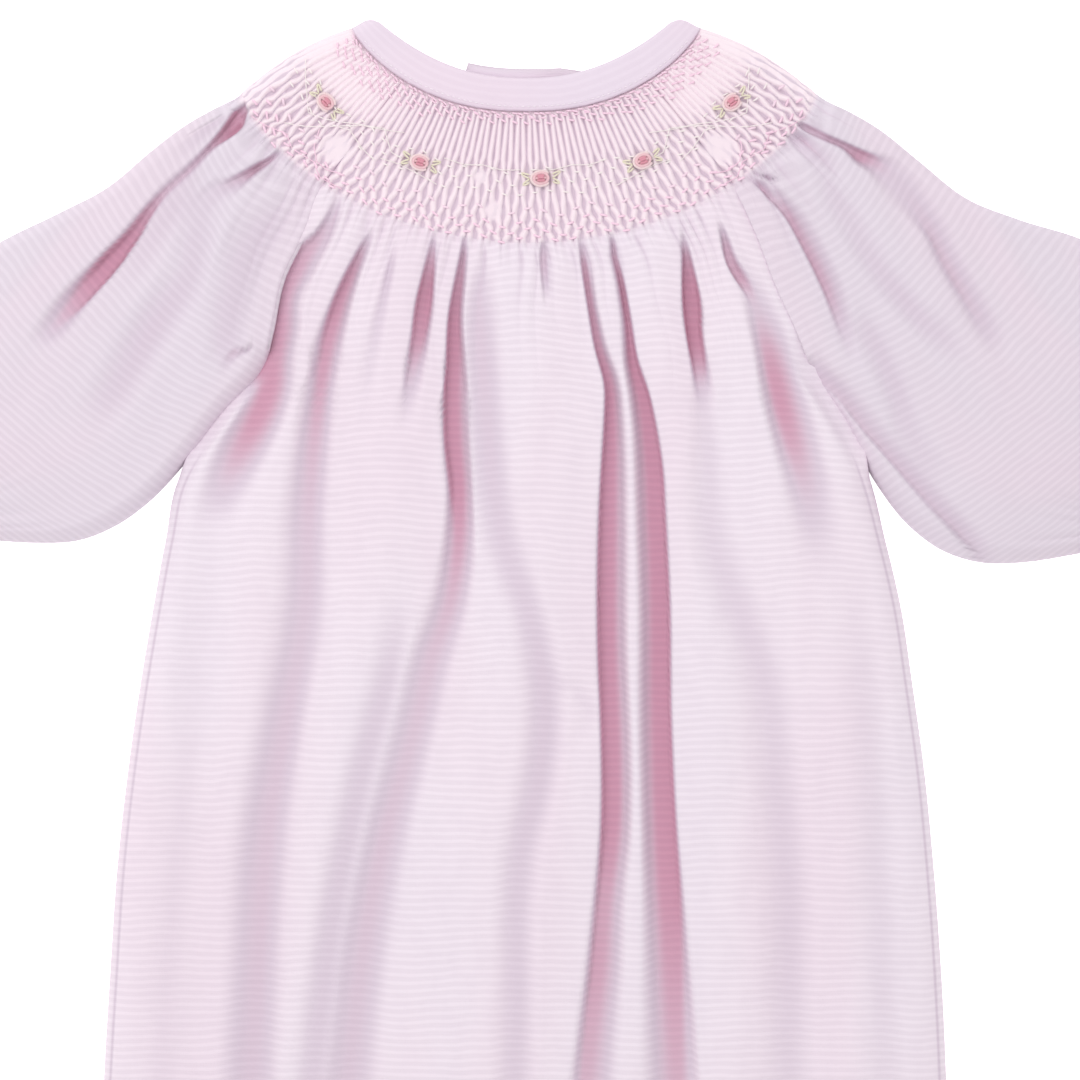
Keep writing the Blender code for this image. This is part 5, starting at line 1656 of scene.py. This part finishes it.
for rose_name, colour, piece in build_roses():
    thread = THREADS["rose_pale" if colour == "pale" else colour]
    dress(piece, thread, "rose_thread", *([rose_name] if colour == "soft" else []))


# Floor, light and camera


FLOOR_HALF = 4.0
FLOOR_GAP = 0.0004


def build_floor():
    """A plain pale floor that stays near white under the soft light."""
    data = bpy.data.meshes.new("floor")
    corners = ((-1, -1), (1, -1), (1, 1), (-1, 1))
    points = [(FLOOR_HALF * x, FLOOR_HALF * y, -FLOOR_GAP) for x, y in corners]
    data.from_pydata(points, [], [(0, 1, 2, 3)])
    floor = bpy.data.objects.new("floor", data)
    bpy.context.scene.collection.objects.link(floor)
    material = bpy.data.materials.new("floor_white")
    material.use_nodes = True
    tree = material.node_tree
    shader = tree.nodes["Principled BSDF"].inputs
    shader["Base Color"].default_value = (0.8, 0.8, 0.8, 1.0)
    shader["Roughness"].default_value = 0.9
    shader["Emission Color"].default_value = (1.0, 1.0, 1.0, 1.0)
    seen = add(tree, "ShaderNodeLightPath").outputs["Is Camera Ray"]
    feed(tree, shader["Emission Strength"], arithmetic(tree, "MULTIPLY_ADD", seen, 0.6, 0.4))
    data.materials.append(material)


def build_light():
    """Even light from all round, with a large soft window from the upper left."""
    world = bpy.data.worlds.new("studio")
    bpy.context.scene.world = world
    world.use_nodes = True
    backdrop = world.node_tree.nodes["Background"]
    backdrop.inputs["Color"].default_value = (1.0, 1.0, 1.0, 1.0)
    backdrop.inputs["Strength"].default_value = 0.86
    lamp = bpy.data.lights.new("window", "AREA")
    lamp.shape = "DISK"
    lamp.size = 0.9
    lamp.energy = 7.0
    holder = bpy.data.objects.new("window", lamp)
    holder.location = (-0.45, 0.55, 1.35)
    holder.rotation_mode = "QUATERNION"
    holder.rotation_quaternion = Vector((0.45, -0.55, -1.35)).to_track_quat("-Z", "Y")
    bpy.context.scene.collection.objects.link(holder)


PHOTO_CENTRE = (1.2, 41.0)     # where the middle of the photo falls on the dress
FRAME_WIDTH = 388.8
CAMERA_ABOVE = 1500.0
SENSOR = 36.0


def build_camera():
    """A camera straight above the dress, with the photo's framing."""
    lens = bpy.data.cameras.new("camera")
    lens.sensor_width = SENSOR
    lens.lens = SENSOR * CAMERA_ABOVE / FRAME_WIDTH
    camera = bpy.data.objects.new("camera", lens)
    height = CAMERA_ABOVE + BAND_HEIGHT
    camera.location = (PHOTO_CENTRE[0] * MM, PHOTO_CENTRE[1] * MM, height * MM)
    bpy.context.scene.collection.objects.link(camera)
    bpy.context.scene.camera = camera
    bpy.context.scene.view_settings.view_transform = "Standard"


build_floor()
build_light()
build_camera()
